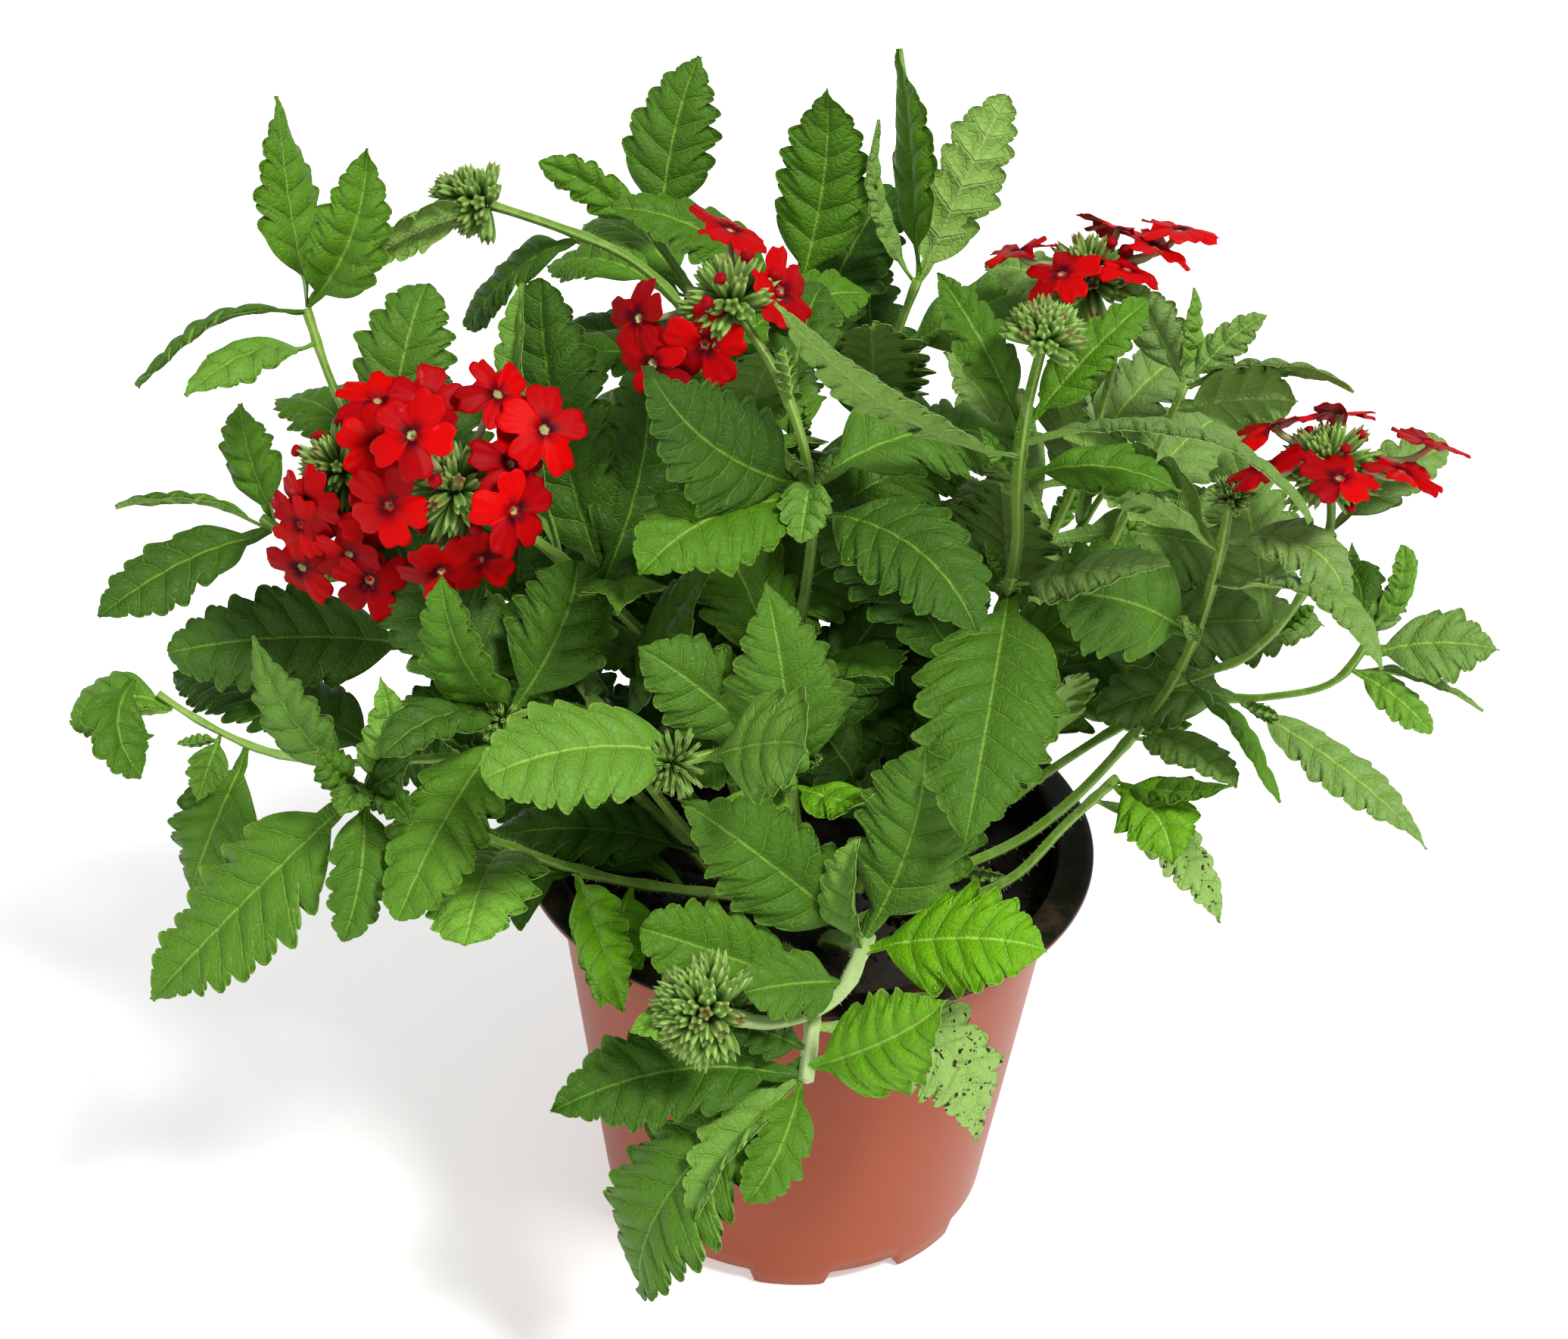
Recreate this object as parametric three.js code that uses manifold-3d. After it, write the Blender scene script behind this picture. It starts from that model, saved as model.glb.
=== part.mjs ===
// A verbena in flower, growing in a round plastic nursery pot.
// Millimetres, +Z up, origin in the middle of the underside of the pot.

import * as THREE from "three";
import { mergeVertices } from "three/addons/utils/BufferGeometryUtils.js";
import Module from "manifold-3d";

// ---- Driving dimensions ----

// Pot
const POT_HEIGHT = 90;
const RIM_RADIUS = 60;
const RIM_WIDTH = 6.5;
const RIM_THICKNESS = 1.6;
const BASE_RADIUS = 41;
const WALL = 1.2;
const FLOOR = 1.8;
const POT_SIDES = 64;
const DRAIN_COUNT = 8;
const DRAIN_WIDTH = 18;
const DRAIN_RISE = 4;
const DRAIN_DEPTH = 10;

// Soil
const SOIL_EDGE = 78;
const SOIL_CROWN = 2;
const SOIL_SIDES = 48;
const GAP = 0.35;

// Stems and leaves
const STEM_SIDES = 6;
const STEM_STEP = 15;
const LEAF_SECTIONS = 10;
const LEAF_THICKNESS = 0.7;
const LEAF_FOLD = 0.28;
const LEAF_TIP = 0.07;
const ATTACH_GAP = 0.7;

// Flowers and buds
const FLOWER_RADIUS = 8.4;
const FLOWER_THICKNESS = 1.2;
const FLOWER_SIDES = 10;
const TUBE_RADIUS = 1.1;
const BOSS_RADIUS = 4.6;
const BUD_SIDES = 10;

const UP = new THREE.Vector3(0, 0, 1);

// Stems: centreline from the soil, or from a fork, to the growing tip, and the radius at each end.
const STEMS = {
  stem_left_high: {
    radii: [1.5, 0.9],
    points: [[-14, 6, 80.6], [-44, 6, 118], [-78, 6, 156], [-95, 8, 185], [-102, 15, 202]],
  },
  stem_left_mid: {
    radii: [1.5, 0.9],
    points: [[-20, -2, 81.4], [-50, 3, 112], [-84, 6, 137], [-112, 8, 158]],
  },
  stem_left_low: {
    radii: [1.5, 0.9],
    points: [[-12, -12, 81.8], [-39, -22, 93], [-57, -32, 107], [-76, -44, 125], [-87, -49, 134]],
  },
  stem_far_left: {
    radii: [1.1, 0.8],
    points: [[-55, -1, 111], [-80, -12, 114], [-104, -20, 119], [-120, -21, 127], [-134, -20, 137]],
  },
  stem_left_centre: {
    radii: [1.4, 0.8],
    points: [[-15, -7, 80.6], [-32, -16, 112], [-45, -24, 137], [-59, -42, 146]],
  },
  stem_head_a: {
    radii: [1.6, 1.1],
    points: [[-10, 2, 80.8], [-18, -3, 112], [-28, -10, 137], [-52, -22, 172], [-68, -29, 188]],
  },
  stem_head_b: {
    radii: [1.0, 1.0],
    points: [[-78, 1.5, 162], [-86, -4, 171], [-92, -10, 180]],
  },
  stem_bud_top_left: {
    radii: [1.6, 1.0],
    points: [
      [-7, 13, 80.8], [-12, 22, 135], [-22, 25, 186], [-35, 25, 207], [-52, 25, 216], [-67, 25, 221],
    ],
  },
  stem_head_c: {
    radii: [1.6, 1.0],
    points: [[0, -8, 80.8], [-5, -17, 130], [-2, -22, 185], [-8, -17, 206], [-18, -10, 219]],
  },
  stem_back_left: {
    radii: [1.6, 1.0],
    points: [[-8, 22, 80.6], [-13, 38, 130], [-22, 46, 180], [-37, 49, 205]],
  },
  stem_back: {
    radii: [1.6, 1.0],
    points: [[-1, 25, 80.6], [-4, 36, 140], [-8, 41, 195]],
  },
  stem_back_right: {
    radii: [1.6, 1.0],
    points: [[8, 22, 80.6], [10, 38, 130], [12, 46, 172], [18, 46, 197]],
  },
  stem_bud_dome: {
    radii: [1.7, 1.2],
    points: [[11, -5, 80.8], [29, -6, 120], [38, -10, 165], [37, -14, 194], [39.5, -15, 216]],
  },
  stem_head_d: {
    radii: [1.5, 1.0],
    points: [[16, 9, 80.6], [38, 22, 125], [54, 27, 170], [57, 29, 194], [52, 30, 206]],
  },
  stem_right_high: {
    radii: [1.5, 0.9],
    points: [[20, 3, 80.5], [46, 10, 125], [63, 16, 165], [71, 18, 191]],
  },
  stem_right_mid: {
    radii: [1.6, 1.0],
    points: [[19, -8, 81.8], [46, -5, 96], [65, 0, 117], [74, -6, 142], [77, -12, 166], [78, -14, 183]],
  },
  stem_head_e: {
    radii: [1.1, 1.0],
    points: [[80, -10.5, 141], [90, -11, 152], [98, -11, 173], [96, -14, 191]],
  },
  stem_far_right: {
    radii: [1.4, 0.9],
    points: [
      [22, -2, 81.4], [50, 4, 106], [70, 5, 121], [86, 3, 127], [98, 1, 129], [108, 0, 136], [112, 0, 146],
    ],
  },
  stem_right_low: {
    radii: [1.7, 1.1],
    points: [[13, -16, 82.4], [38, -15, 88], [54, -11, 105], [62, -12, 116]],
  },
  stem_centre_low: {
    radii: [1.6, 0.9],
    points: [[-4, -18, 80.7], [-5, -32, 116], [-4, -38, 134], [-12, -50, 147], [-25, -61, 151]],
  },
  stem_front: {
    radii: [1.7, 1.1],
    points: [
      [5, -24, 81.6], [10, -46, 98], [11, -62, 110], [6, -72, 105], [-6, -81, 106], [-17, -87, 113],
    ],
  },
  stem_front_low: {
    radii: [1.5, 1.0],
    points: [[-4, -28, 81.4], [0, -50, 95], [2, -67, 99], [1, -81, 92]],
  },
  stem_back_low: {
    radii: [1.5, 0.9],
    points: [[-14, 24, 80.4], [-26, 50, 104], [-38, 72, 128]],
  },
  stem_back_side: {
    radii: [1.5, 0.9],
    points: [[17, 19, 81.3], [40, 44, 108], [62, 62, 140]],
  },
};

// Leaves: the stem and the place on it where the stalk starts, the tip, the widest width, how far the
// middle stands off the straight line, and the way that the upper side faces.
const LEAVES = {
  leaf_left_spire: {
    stem: "stem_left_high", from: [-101, 17, 202], tip: [-108, 34, 238], width: 13, bow: [-1, -2, 0],
    face: [1, -0.6, 0.2],
  },
  leaf_left_droop: {
    stem: "stem_left_high", from: [-100, 12, 196], tip: [-122, -10, 196], width: 11, bow: [0, 0, 4],
    face: [0, 0.2, 1],
  },
  leaf_left_upright: {
    stem: "stem_left_mid", from: [-110, 8, 157], tip: [-117, 18, 178], width: 9, bow: [-1, 0, 0],
    face: [-0.6, -0.8, 0.2],
  },
  leaf_left_spotted: {
    stem: "stem_left_mid", from: [-110, 6, 155], tip: [-142, -12, 146], width: 15, bow: [0, 0, 3],
    face: [0, -0.3, 1],
  },
  leaf_left_broad: {
    stem: "stem_left_mid", from: [-78, 5, 131], tip: [-130, -6, 134], width: 23, bow: [0, 0, 3],
    face: [0.1, -0.6, 1],
  },
  leaf_left_low: {
    stem: "stem_left_low", from: [-87, -49, 132], tip: [-127, -62, 90], width: 27, bow: [-1, -2, 1],
    face: [-0.35, -0.8, 0.8],
  },
  leaf_far_left_hanging: {
    stem: "stem_far_left", from: [-112, -20, 123], tip: [-124, -33, 94], width: 18, bow: [0, -3, 2],
    face: [-0.3, -1, 0.4],
  },
  leaf_left_centre_low: {
    stem: "stem_left_centre", from: [-58, -41, 146], tip: [-77, -72, 120], width: 18, bow: [-1, -3, 3],
    face: [-0.3, -0.6, 1],
  },
  leaf_centre_tall: {
    stem: "stem_head_c", from: [-3, -22, 188], tip: [-32, -46, 226], width: 22, bow: [-3, -6, 0],
    face: [0.3, -1, 0.5],
  },
  leaf_centre_right: {
    stem: "stem_head_c", from: [-2, -22, 183], tip: [29, -54, 178], width: 22, bow: [3, -3, 7],
    face: [0.1, -0.4, 1],
  },
  leaf_dome_left: {
    stem: "stem_bud_dome", from: [37, -14, 194], tip: [-10, -42, 238], width: 15, bow: [0, -2, -5],
    face: [-0.3, 0.4, 1],
  },
  leaf_dome_right: {
    stem: "stem_bud_dome", from: [37, -14, 196], tip: [88, -50, 202], width: 16, bow: [4, -3, 12],
    face: [0.2, 0.3, 1],
  },
  leaf_dome_low: {
    stem: "stem_bud_dome", from: [38, -10, 160], tip: [29, -64, 137], width: 28, bow: [0, -5, 6],
    face: [0, -0.8, 0.9],
  },
  leaf_back_left: {
    stem: "stem_back_left", from: [-37, 49, 204], tip: [-28, 62, 237], width: 21, bow: [-1, 1, 2],
    face: [-0.2, -1, 0.3],
  },
  leaf_back_top: {
    stem: "stem_back", from: [-8, 41, 195], tip: [-2, 46, 238], width: 21, bow: [2, 2, 0],
    face: [0, -1, 0.1],
  },
  leaf_back_pale: {
    stem: "stem_back_right", from: [18, 46, 196], tip: [34, 62, 231], width: 15, bow: [0, -2, 2],
    face: [0.2, 1, -0.1],
  },
  leaf_right_mid: {
    stem: "stem_right_mid", from: [77, -12, 164], tip: [106, -46, 168], width: 16, bow: [3, -3, 10],
    face: [0.2, 0.2, 1],
  },
  leaf_far_right: {
    stem: "stem_far_right", from: [112, 0, 141], tip: [136, -6, 147], width: 12, bow: [0, 0, 2],
    face: [0, -0.5, 1],
  },
  leaf_right_stalked: {
    stem: "stem_far_right", from: [88, 3, 127], tip: [124, -26, 112], width: 14, bow: [2, -3, 3],
    face: [0.2, -0.4, 1],
  },
  leaf_right_low: {
    stem: "stem_right_low", from: [60, -11, 110], tip: [85, -22, 88], width: 14, bow: [3, 0, 4],
    face: [0.3, -0.5, 1],
  },
  leaf_front_right: {
    stem: "stem_front", from: [11, -62, 110], tip: [45, -76, 122], width: 21, bow: [2, -3, 5],
    face: [0, -0.5, 1],
  },
  leaf_front_left: {
    stem: "stem_front_low", from: [1, -80, 92], tip: [-47, -88, 88], width: 20, bow: [0, 0, 6],
    face: [0, -0.5, 1],
  },
  leaf_front_hanging: {
    stem: "stem_front_low", from: [1.5, -78, 94], tip: [-30, -91, 47], width: 24, bow: [-8, -7, 4],
    face: [-0.7, -0.8, 0.5],
  },
};

// Flower heads: the stem that carries the head, and the eye of each open flower from the boss.
const HEADS = {
  flower_head_left: {
    stem: "stem_head_a",
    eyes: [
      [14, -1, 5], [15, -8, -1], [8, -4, -15], [1, -7, -16],
      [11, 6, 16], [20, 2, 11], [-2, 4, 15], [-4, -7, 14],
    ],
  },
  flower_head_far_left: {
    stem: "stem_head_b",
    eyes: [
      [9, 4, 12], [10, -5, 7], [-5, -8, -10], [4, -10, -15],
      [10, -8, -7], [8, -11, -20], [-6, -6, -21],
    ],
  },
  flower_head_top: {
    stem: "stem_head_c",
    eyes: [[-2, -9, -8], [12, -1, 0], [-15, -3, -6], [-12, -8, -13], [2, 12, 6]],
  },
  flower_head_back_right: {
    stem: "stem_head_d",
    eyes: [[-10, 3, 3], [-6, -9, 3], [7, -9, 4], [15, -1, 5], [22, 5, 6], [4, 11, 4]],
  },
  flower_head_right: {
    stem: "stem_head_e",
    eyes: [[2, -11, 2], [-12, -3, -1], [-9, 5, 3], [17, -2, -4], [23, 2, -1]],
  },
};

// Heads of unopened buds: the stem that carries each, its radius and its height.
const BUDS = {
  bud_head_top_left: { stem: "stem_bud_top_left", radius: 5.5, height: 9 },
  bud_head_dome: { stem: "stem_bud_dome", radius: 7.8, height: 9 },
  bud_tip_right: { stem: "stem_right_mid", radius: 3, height: 6 },
  bud_tuft_left: { stem: "stem_left_centre", radius: 3.2, height: 6 },
  bud_tuft_centre: { stem: "stem_centre_low", radius: 4, height: 7 },
  bud_head_front: { stem: "stem_front", radius: 8, height: 9 },
};

const MATERIALS = {
  pot: new THREE.MeshStandardMaterial({ color: 0x9c5a3f, roughness: 0.45, metalness: 0 }),
  soil: new THREE.MeshStandardMaterial({ color: 0x2e221a, roughness: 0.95, metalness: 0 }),
  stem: new THREE.MeshStandardMaterial({ color: 0x7fa23c, roughness: 0.6, metalness: 0 }),
  leaf: new THREE.MeshStandardMaterial({ color: 0x4f7d27, roughness: 0.55, metalness: 0 }),
  bud: new THREE.MeshStandardMaterial({ color: 0x86a24a, roughness: 0.7, metalness: 0 }),
  petal: new THREE.MeshStandardMaterial({ color: 0xd01010, roughness: 0.5, metalness: 0 }),
};

const plant = new THREE.Group();

// ---- Solids ----

const wasm = await Module();
wasm.setup();

function welded(geometry) {
  const bare = geometry.clone();
  bare.deleteAttribute("normal");
  bare.deleteAttribute("uv");
  return mergeVertices(bare, 1e-4);
}

function toSolid(geometry) {
  const closed = welded(geometry);
  const vertProperties = new Float32Array(closed.attributes.position.array);
  const triVerts = new Uint32Array(closed.index.array);
  return new wasm.Manifold(new wasm.Mesh({ numProp: 3, vertProperties, triVerts }));
}

function toGeometry(solid) {
  const mesh = solid.getMesh();
  const geometry = new THREE.BufferGeometry();
  geometry.setAttribute("position", new THREE.BufferAttribute(new Float32Array(mesh.vertProperties), 3));
  geometry.setIndex(new THREE.BufferAttribute(new Uint32Array(mesh.triVerts), 1));
  return geometry;
}

function addPiece(name, geometry, material) {
  const mesh = new THREE.Mesh(geometry, material);
  mesh.name = name;
  plant.add(mesh);
}

// A lathed solid that stands upright: the profile runs from the axis at the bottom to the axis at the top.
function turned(profile, sides) {
  const points = profile.map(([radius, height]) => new THREE.Vector2(radius, height));
  return new THREE.LatheGeometry(points, sides).rotateX(Math.PI / 2);
}

// ---- Pot and soil ----

const SHOULDER_RADIUS = RIM_RADIUS - RIM_WIDTH;
const UNDER_RIM = POT_HEIGHT - RIM_THICKNESS;

function innerRadius(height) {
  const slope = (SHOULDER_RADIUS - BASE_RADIUS) / UNDER_RIM;
  return BASE_RADIUS - WALL + slope * height;
}

function potGeometry() {
  const shell = turned(
    [
      [0, 0],
      [BASE_RADIUS, 0],
      [SHOULDER_RADIUS, UNDER_RIM],
      [RIM_RADIUS, UNDER_RIM],
      [RIM_RADIUS, POT_HEIGHT],
      [innerRadius(POT_HEIGHT), POT_HEIGHT],
      [innerRadius(FLOOR), FLOOR],
      [0, FLOOR],
    ],
    POT_SIDES
  );
  // Each drainage arch is a shallow arc of a wide cylinder that lies across the edge of the floor.
  const archRadius = (DRAIN_WIDTH ** 2 / 4 + DRAIN_RISE ** 2) / (2 * DRAIN_RISE);
  let solid = toSolid(shell);
  for (let i = 0; i < DRAIN_COUNT; i++) {
    const arch = new THREE.CylinderGeometry(archRadius, archRadius, DRAIN_DEPTH, POT_SIDES);
    arch.translate(0, -BASE_RADIUS, 0).translate(0, 0, DRAIN_RISE - archRadius);
    arch.rotateZ(((i + 0.5) * 2 * Math.PI) / DRAIN_COUNT);
    solid = solid.subtract(toSolid(arch));
  }
  return toGeometry(solid);
}

function soilGeometry() {
  const bottom = FLOOR + GAP;
  return turned(
    [
      [0, bottom],
      [innerRadius(bottom) - 2 * GAP, bottom],
      [innerRadius(SOIL_EDGE) - 2 * GAP, SOIL_EDGE],
      [innerRadius(SOIL_EDGE) / 2, SOIL_EDGE + SOIL_CROWN * 0.8],
      [0, SOIL_EDGE + SOIL_CROWN],
    ],
    SOIL_SIDES
  );
}

// ---- Stems and leaves ----

function curveThrough(points) {
  return new THREE.CatmullRomCurve3(points.map((point) => new THREE.Vector3(...point)));
}

// Bends a cylinder of radius 1 along a curve. place(t) gives the half-width, the half-thickness and the
// lift of the edges of the section at t, which runs from 0 at the start of the curve to 1 at its end.
function bend(curve, sides, sections, face, place) {
  const geometry = welded(new THREE.CylinderGeometry(1, 1, 1, sides, sections));
  const rings = [];
  let normal = face.clone();
  for (let i = 0; i <= sections; i++) {
    const tangent = curve.getTangentAt(i / sections);
    normal = normal.clone().addScaledVector(tangent, -normal.dot(tangent)).normalize();
    const side = new THREE.Vector3().crossVectors(tangent, normal);
    rings.push({ centre: curve.getPointAt(i / sections), normal, side, ...place(i / sections) });
  }
  const position = geometry.attributes.position;
  const vertex = new THREE.Vector3();
  for (let i = 0; i < position.count; i++) {
    vertex.fromBufferAttribute(position, i);
    const ring = rings[Math.round((vertex.y + 0.5) * sections)];
    const across = vertex.x * ring.halfWidth;
    const rise = vertex.z * ring.halfThickness + Math.abs(vertex.x) * ring.lift;
    vertex.copy(ring.centre).addScaledVector(ring.side, across).addScaledVector(ring.normal, rise);
    position.setXYZ(i, vertex.x, vertex.y, vertex.z);
  }
  return geometry;
}

function stemGeometry({ points, radii }) {
  const curve = curveThrough(points);
  const sections = Math.max(4, Math.round(curve.getLength() / STEM_STEP));
  const face = new THREE.Vector3(0.3, -1, 0.2);
  return bend(curve, STEM_SIDES, sections, face, (t) => {
    const radius = THREE.MathUtils.lerp(radii[0], radii[1], t);
    return { halfWidth: radius, halfThickness: radius, lift: 0 };
  });
}

// The place on a stem's centreline that is nearest to a point, as a fraction of the stem's length.
function nearestFraction(curve, point) {
  const steps = 80;
  let best = 0;
  for (let i = 0; i <= steps; i++) {
    if (curve.getPointAt(i / steps).distanceTo(point) < curve.getPointAt(best).distanceTo(point)) {
      best = i / steps;
    }
  }
  return best;
}

// Where a leaf stalk starts: just off the skin of its stem, on the side that faces the tip of the leaf.
function stalkStart(stem, from, tip) {
  const curve = curveThrough(stem.points);
  const fraction = nearestFraction(curve, from);
  const centre = curve.getPointAt(fraction);
  const tangent = curve.getTangentAt(fraction);
  const outward = tip.clone().sub(centre);
  outward.addScaledVector(tangent, -outward.dot(tangent)).normalize();
  const radius = THREE.MathUtils.lerp(stem.radii[0], stem.radii[1], fraction);
  return centre.addScaledVector(outward, radius + ATTACH_GAP);
}

// A narrow stalk that widens into a blade, widest near its middle, and tapers to the tip.
function leafOutline(t) {
  return Math.max(LEAF_TIP, Math.sin(Math.PI * t ** 0.85) ** 1.4);
}

function leafGeometry({ stem, from, tip, width, bow, face }) {
  const end = new THREE.Vector3(...tip);
  const start = stalkStart(STEMS[stem], new THREE.Vector3(...from), end);
  const control = start.clone().lerp(end, 0.5).addScaledVector(new THREE.Vector3(...bow), 2);
  const curve = new THREE.QuadraticBezierCurve3(start, control, end);
  return bend(curve, 4, LEAF_SECTIONS, new THREE.Vector3(...face), (t) => {
    const halfWidth = (width / 2) * leafOutline(t);
    return { halfWidth, halfThickness: LEAF_THICKNESS / 2, lift: halfWidth * LEAF_FOLD };
  });
}

// ---- Flowers and buds ----

function stemTip(name) {
  const curve = curveThrough(STEMS[name].points);
  return { point: curve.getPointAt(1), direction: curve.getTangentAt(1) };
}

// Turns a solid that points up so that it points along a direction, and puts it at a point.
function aimed(geometry, direction, point) {
  const turn = new THREE.Quaternion().setFromUnitVectors(UP, direction.clone().normalize());
  return geometry.applyQuaternion(turn).translate(point.x, point.y, point.z);
}

// One open flower: a thin tube that opens into a flat face of petals.
function flowerGeometry(reach) {
  return turned(
    [
      [0, 0],
      [TUBE_RADIUS, 0],
      [TUBE_RADIUS, reach - 2 * FLOWER_THICKNESS],
      [FLOWER_RADIUS, reach - FLOWER_THICKNESS / 2],
      [FLOWER_RADIUS, reach + FLOWER_THICKNESS / 2],
      [0, reach],
    ],
    FLOWER_SIDES
  );
}

function headGeometry({ stem, eyes }) {
  const { point, direction } = stemTip(stem);
  const centre = point.clone().addScaledVector(direction, BOSS_RADIUS + ATTACH_GAP);
  const boss = new THREE.SphereGeometry(BOSS_RADIUS, BUD_SIDES, BUD_SIDES / 2);
  let solid = toSolid(aimed(boss, direction, centre));
  for (const eye of eyes) {
    const axis = new THREE.Vector3(...eye);
    solid = solid.add(toSolid(aimed(flowerGeometry(axis.length()), axis, centre)));
  }
  return toGeometry(solid);
}

// A dome of buds: rounded below, widest under its middle, lower in the centre than a ball.
function budGeometry({ stem, radius, height }) {
  const { point, direction } = stemTip(stem);
  const dome = turned(
    [
      [0, 0],
      [radius * 0.6, height * 0.08],
      [radius, height * 0.42],
      [radius * 0.8, height * 0.8],
      [0, height],
    ],
    BUD_SIDES
  );
  return aimed(dome, direction, point.addScaledVector(direction, ATTACH_GAP));
}

// ---- The plant ----

addPiece("pot", potGeometry(), MATERIALS.pot);
addPiece("soil", soilGeometry(), MATERIALS.soil);
for (const [name, stem] of Object.entries(STEMS)) {
  addPiece(name, stemGeometry(stem), MATERIALS.stem);
}
for (const [name, leaf] of Object.entries(LEAVES)) {
  addPiece(name, leafGeometry(leaf), MATERIALS.leaf);
}
for (const [name, head] of Object.entries(HEADS)) {
  addPiece(name, headGeometry(head), MATERIALS.petal);
}
for (const [name, bud] of Object.entries(BUDS)) {
  addPiece(name, budGeometry(bud), MATERIALS.bud);
}

export default plant;
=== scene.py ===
"""A verbena in flower in a nursery pot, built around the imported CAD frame. Metres, +Z up."""

import math
import random
from collections import namedtuple

import bpy
import numpy as np
from mathutils import Euler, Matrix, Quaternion, Vector
from mathutils import noise as noise_field


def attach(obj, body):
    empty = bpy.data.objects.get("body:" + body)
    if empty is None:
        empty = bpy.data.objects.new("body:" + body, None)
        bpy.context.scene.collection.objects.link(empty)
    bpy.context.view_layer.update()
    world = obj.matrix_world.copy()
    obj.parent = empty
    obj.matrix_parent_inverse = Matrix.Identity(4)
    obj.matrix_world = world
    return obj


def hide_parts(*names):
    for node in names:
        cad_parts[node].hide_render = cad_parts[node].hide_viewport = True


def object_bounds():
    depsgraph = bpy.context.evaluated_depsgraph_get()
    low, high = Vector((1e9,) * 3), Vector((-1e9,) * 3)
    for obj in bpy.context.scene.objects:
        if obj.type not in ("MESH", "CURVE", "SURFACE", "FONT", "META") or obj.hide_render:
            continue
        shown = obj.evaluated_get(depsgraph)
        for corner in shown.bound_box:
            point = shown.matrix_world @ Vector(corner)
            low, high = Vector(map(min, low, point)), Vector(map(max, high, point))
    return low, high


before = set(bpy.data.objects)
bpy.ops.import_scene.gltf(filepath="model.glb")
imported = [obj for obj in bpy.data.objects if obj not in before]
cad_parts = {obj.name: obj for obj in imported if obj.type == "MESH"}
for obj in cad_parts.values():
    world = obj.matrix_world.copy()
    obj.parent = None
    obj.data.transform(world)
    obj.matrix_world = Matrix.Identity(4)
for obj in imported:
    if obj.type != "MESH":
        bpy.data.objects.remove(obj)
CAD_LOW, CAD_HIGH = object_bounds()

MM = 0.001
UP = np.array([0.0, 0.0, 1.0])

# ---- Camera, light and floor ----

CAMERA_PITCH = math.radians(34.06)
CAMERA_ROLL = math.radians(2.19)
CAMERA_DISTANCE = 0.72
CAMERA_TARGET = Vector((-0.0061, 0, 0.1314))
CAMERA_LENS = 81.5
CAMERA_SENSOR = 36
CAMERA_NEAR = 0.01
WORLD_COLOUR = (0.98, 0.99, 1, 1)
WORLD_STRENGTH = 0.48
FLOOR_SIZE = 12.0
FLOOR_COLOUR = (0.84, 0.845, 0.85, 1)
FLOOR_GLOW = 0.42

# Each sun: the direction it shines from, how wide it looks in degrees, its strength and its colour.
SUNS = {
    "key": ((0.5, -0.45, 1), 14, 3.4, (1, 0.99, 0.97)),
    "fill": ((-0.8, -0.7, 0.6), 40, 0.4, (0.97, 0.99, 1)),
}


def add_object(name, data):
    thing = bpy.data.objects.new(name, data)
    bpy.context.scene.collection.objects.link(thing)
    return thing


def make_camera():
    camera = add_object("camera", bpy.data.cameras.new("camera"))
    camera.data.lens = CAMERA_LENS
    camera.data.sensor_width = CAMERA_SENSOR
    camera.data.clip_start = CAMERA_NEAR
    forward = Vector((0, math.cos(CAMERA_PITCH), -math.sin(CAMERA_PITCH)))
    camera.location = CAMERA_TARGET - forward * CAMERA_DISTANCE
    tilt = Euler((math.pi / 2 - CAMERA_PITCH, 0, 0)).to_quaternion()
    camera.rotation_mode = "QUATERNION"
    camera.rotation_quaternion = tilt @ Quaternion((0, 0, 1), CAMERA_ROLL)
    bpy.context.scene.camera = camera


def make_light():
    world = bpy.data.worlds.new("studio")
    world.use_nodes = True
    background = world.node_tree.nodes["Background"]
    background.inputs["Color"].default_value = WORLD_COLOUR
    background.inputs["Strength"].default_value = WORLD_STRENGTH
    bpy.context.scene.world = world
    for name, (direction, softness, strength, colour) in SUNS.items():
        lamp = bpy.data.lights.new(name, "SUN")
        lamp.angle = math.radians(softness)
        lamp.energy = strength
        lamp.color = colour
        light = add_object(name, lamp)
        light.rotation_mode = "QUATERNION"
        light.rotation_quaternion = Vector(direction).to_track_quat("Z", "Y")
    bpy.context.scene.view_settings.view_transform = "Standard"


def make_floor():
    half = FLOOR_SIZE / 2
    material, shader = new_material("floor", Base_Color=FLOOR_COLOUR, Roughness=0.7)
    shader.inputs["Emission Color"].default_value = (1, 1, 1, 1)
    shader.inputs["Emission Strength"].default_value = FLOOR_GLOW
    corners = [(-half, -half, 0), (half, -half, 0), (half, half, 0), (-half, half, 0)]
    make_mesh("floor", corners, [(0, 1, 2, 3)], material)


# ---- Node materials ----


def is_socket(value):
    return isinstance(value, bpy.types.NodeSocket)


def tree_of(*values):
    """The node tree that the sockets among some values belong to."""
    return next(value.id_data for value in values if is_socket(value))


def node(tree, kind, inputs=None, **properties):
    """Adds a node, sets its properties, sets or links its inputs, and returns its outputs."""
    made = tree.nodes.new(kind)
    for key, value in properties.items():
        setattr(made, key, value)
    for key, value in (inputs or {}).items():
        if is_socket(value):
            tree.links.new(value, made.inputs[key])
        else:
            made.inputs[key].default_value = value
    return made.outputs


def maths(operation, a, b=0.0):
    return node(tree_of(a, b), "ShaderNodeMath", {0: a, 1: b}, operation=operation)[0]


def times(a, b):
    return maths("MULTIPLY", a, b)


def mix(factor, *colours):
    """The first of two colours where the factor is 0, the second where it is 1."""
    a, b = (colour if is_socket(colour) else (*colour, 1) for colour in colours)
    return node(tree_of(factor, a, b), "ShaderNodeMix", {0: factor, 6: a, 7: b}, data_type="RGBA")[2]


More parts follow.
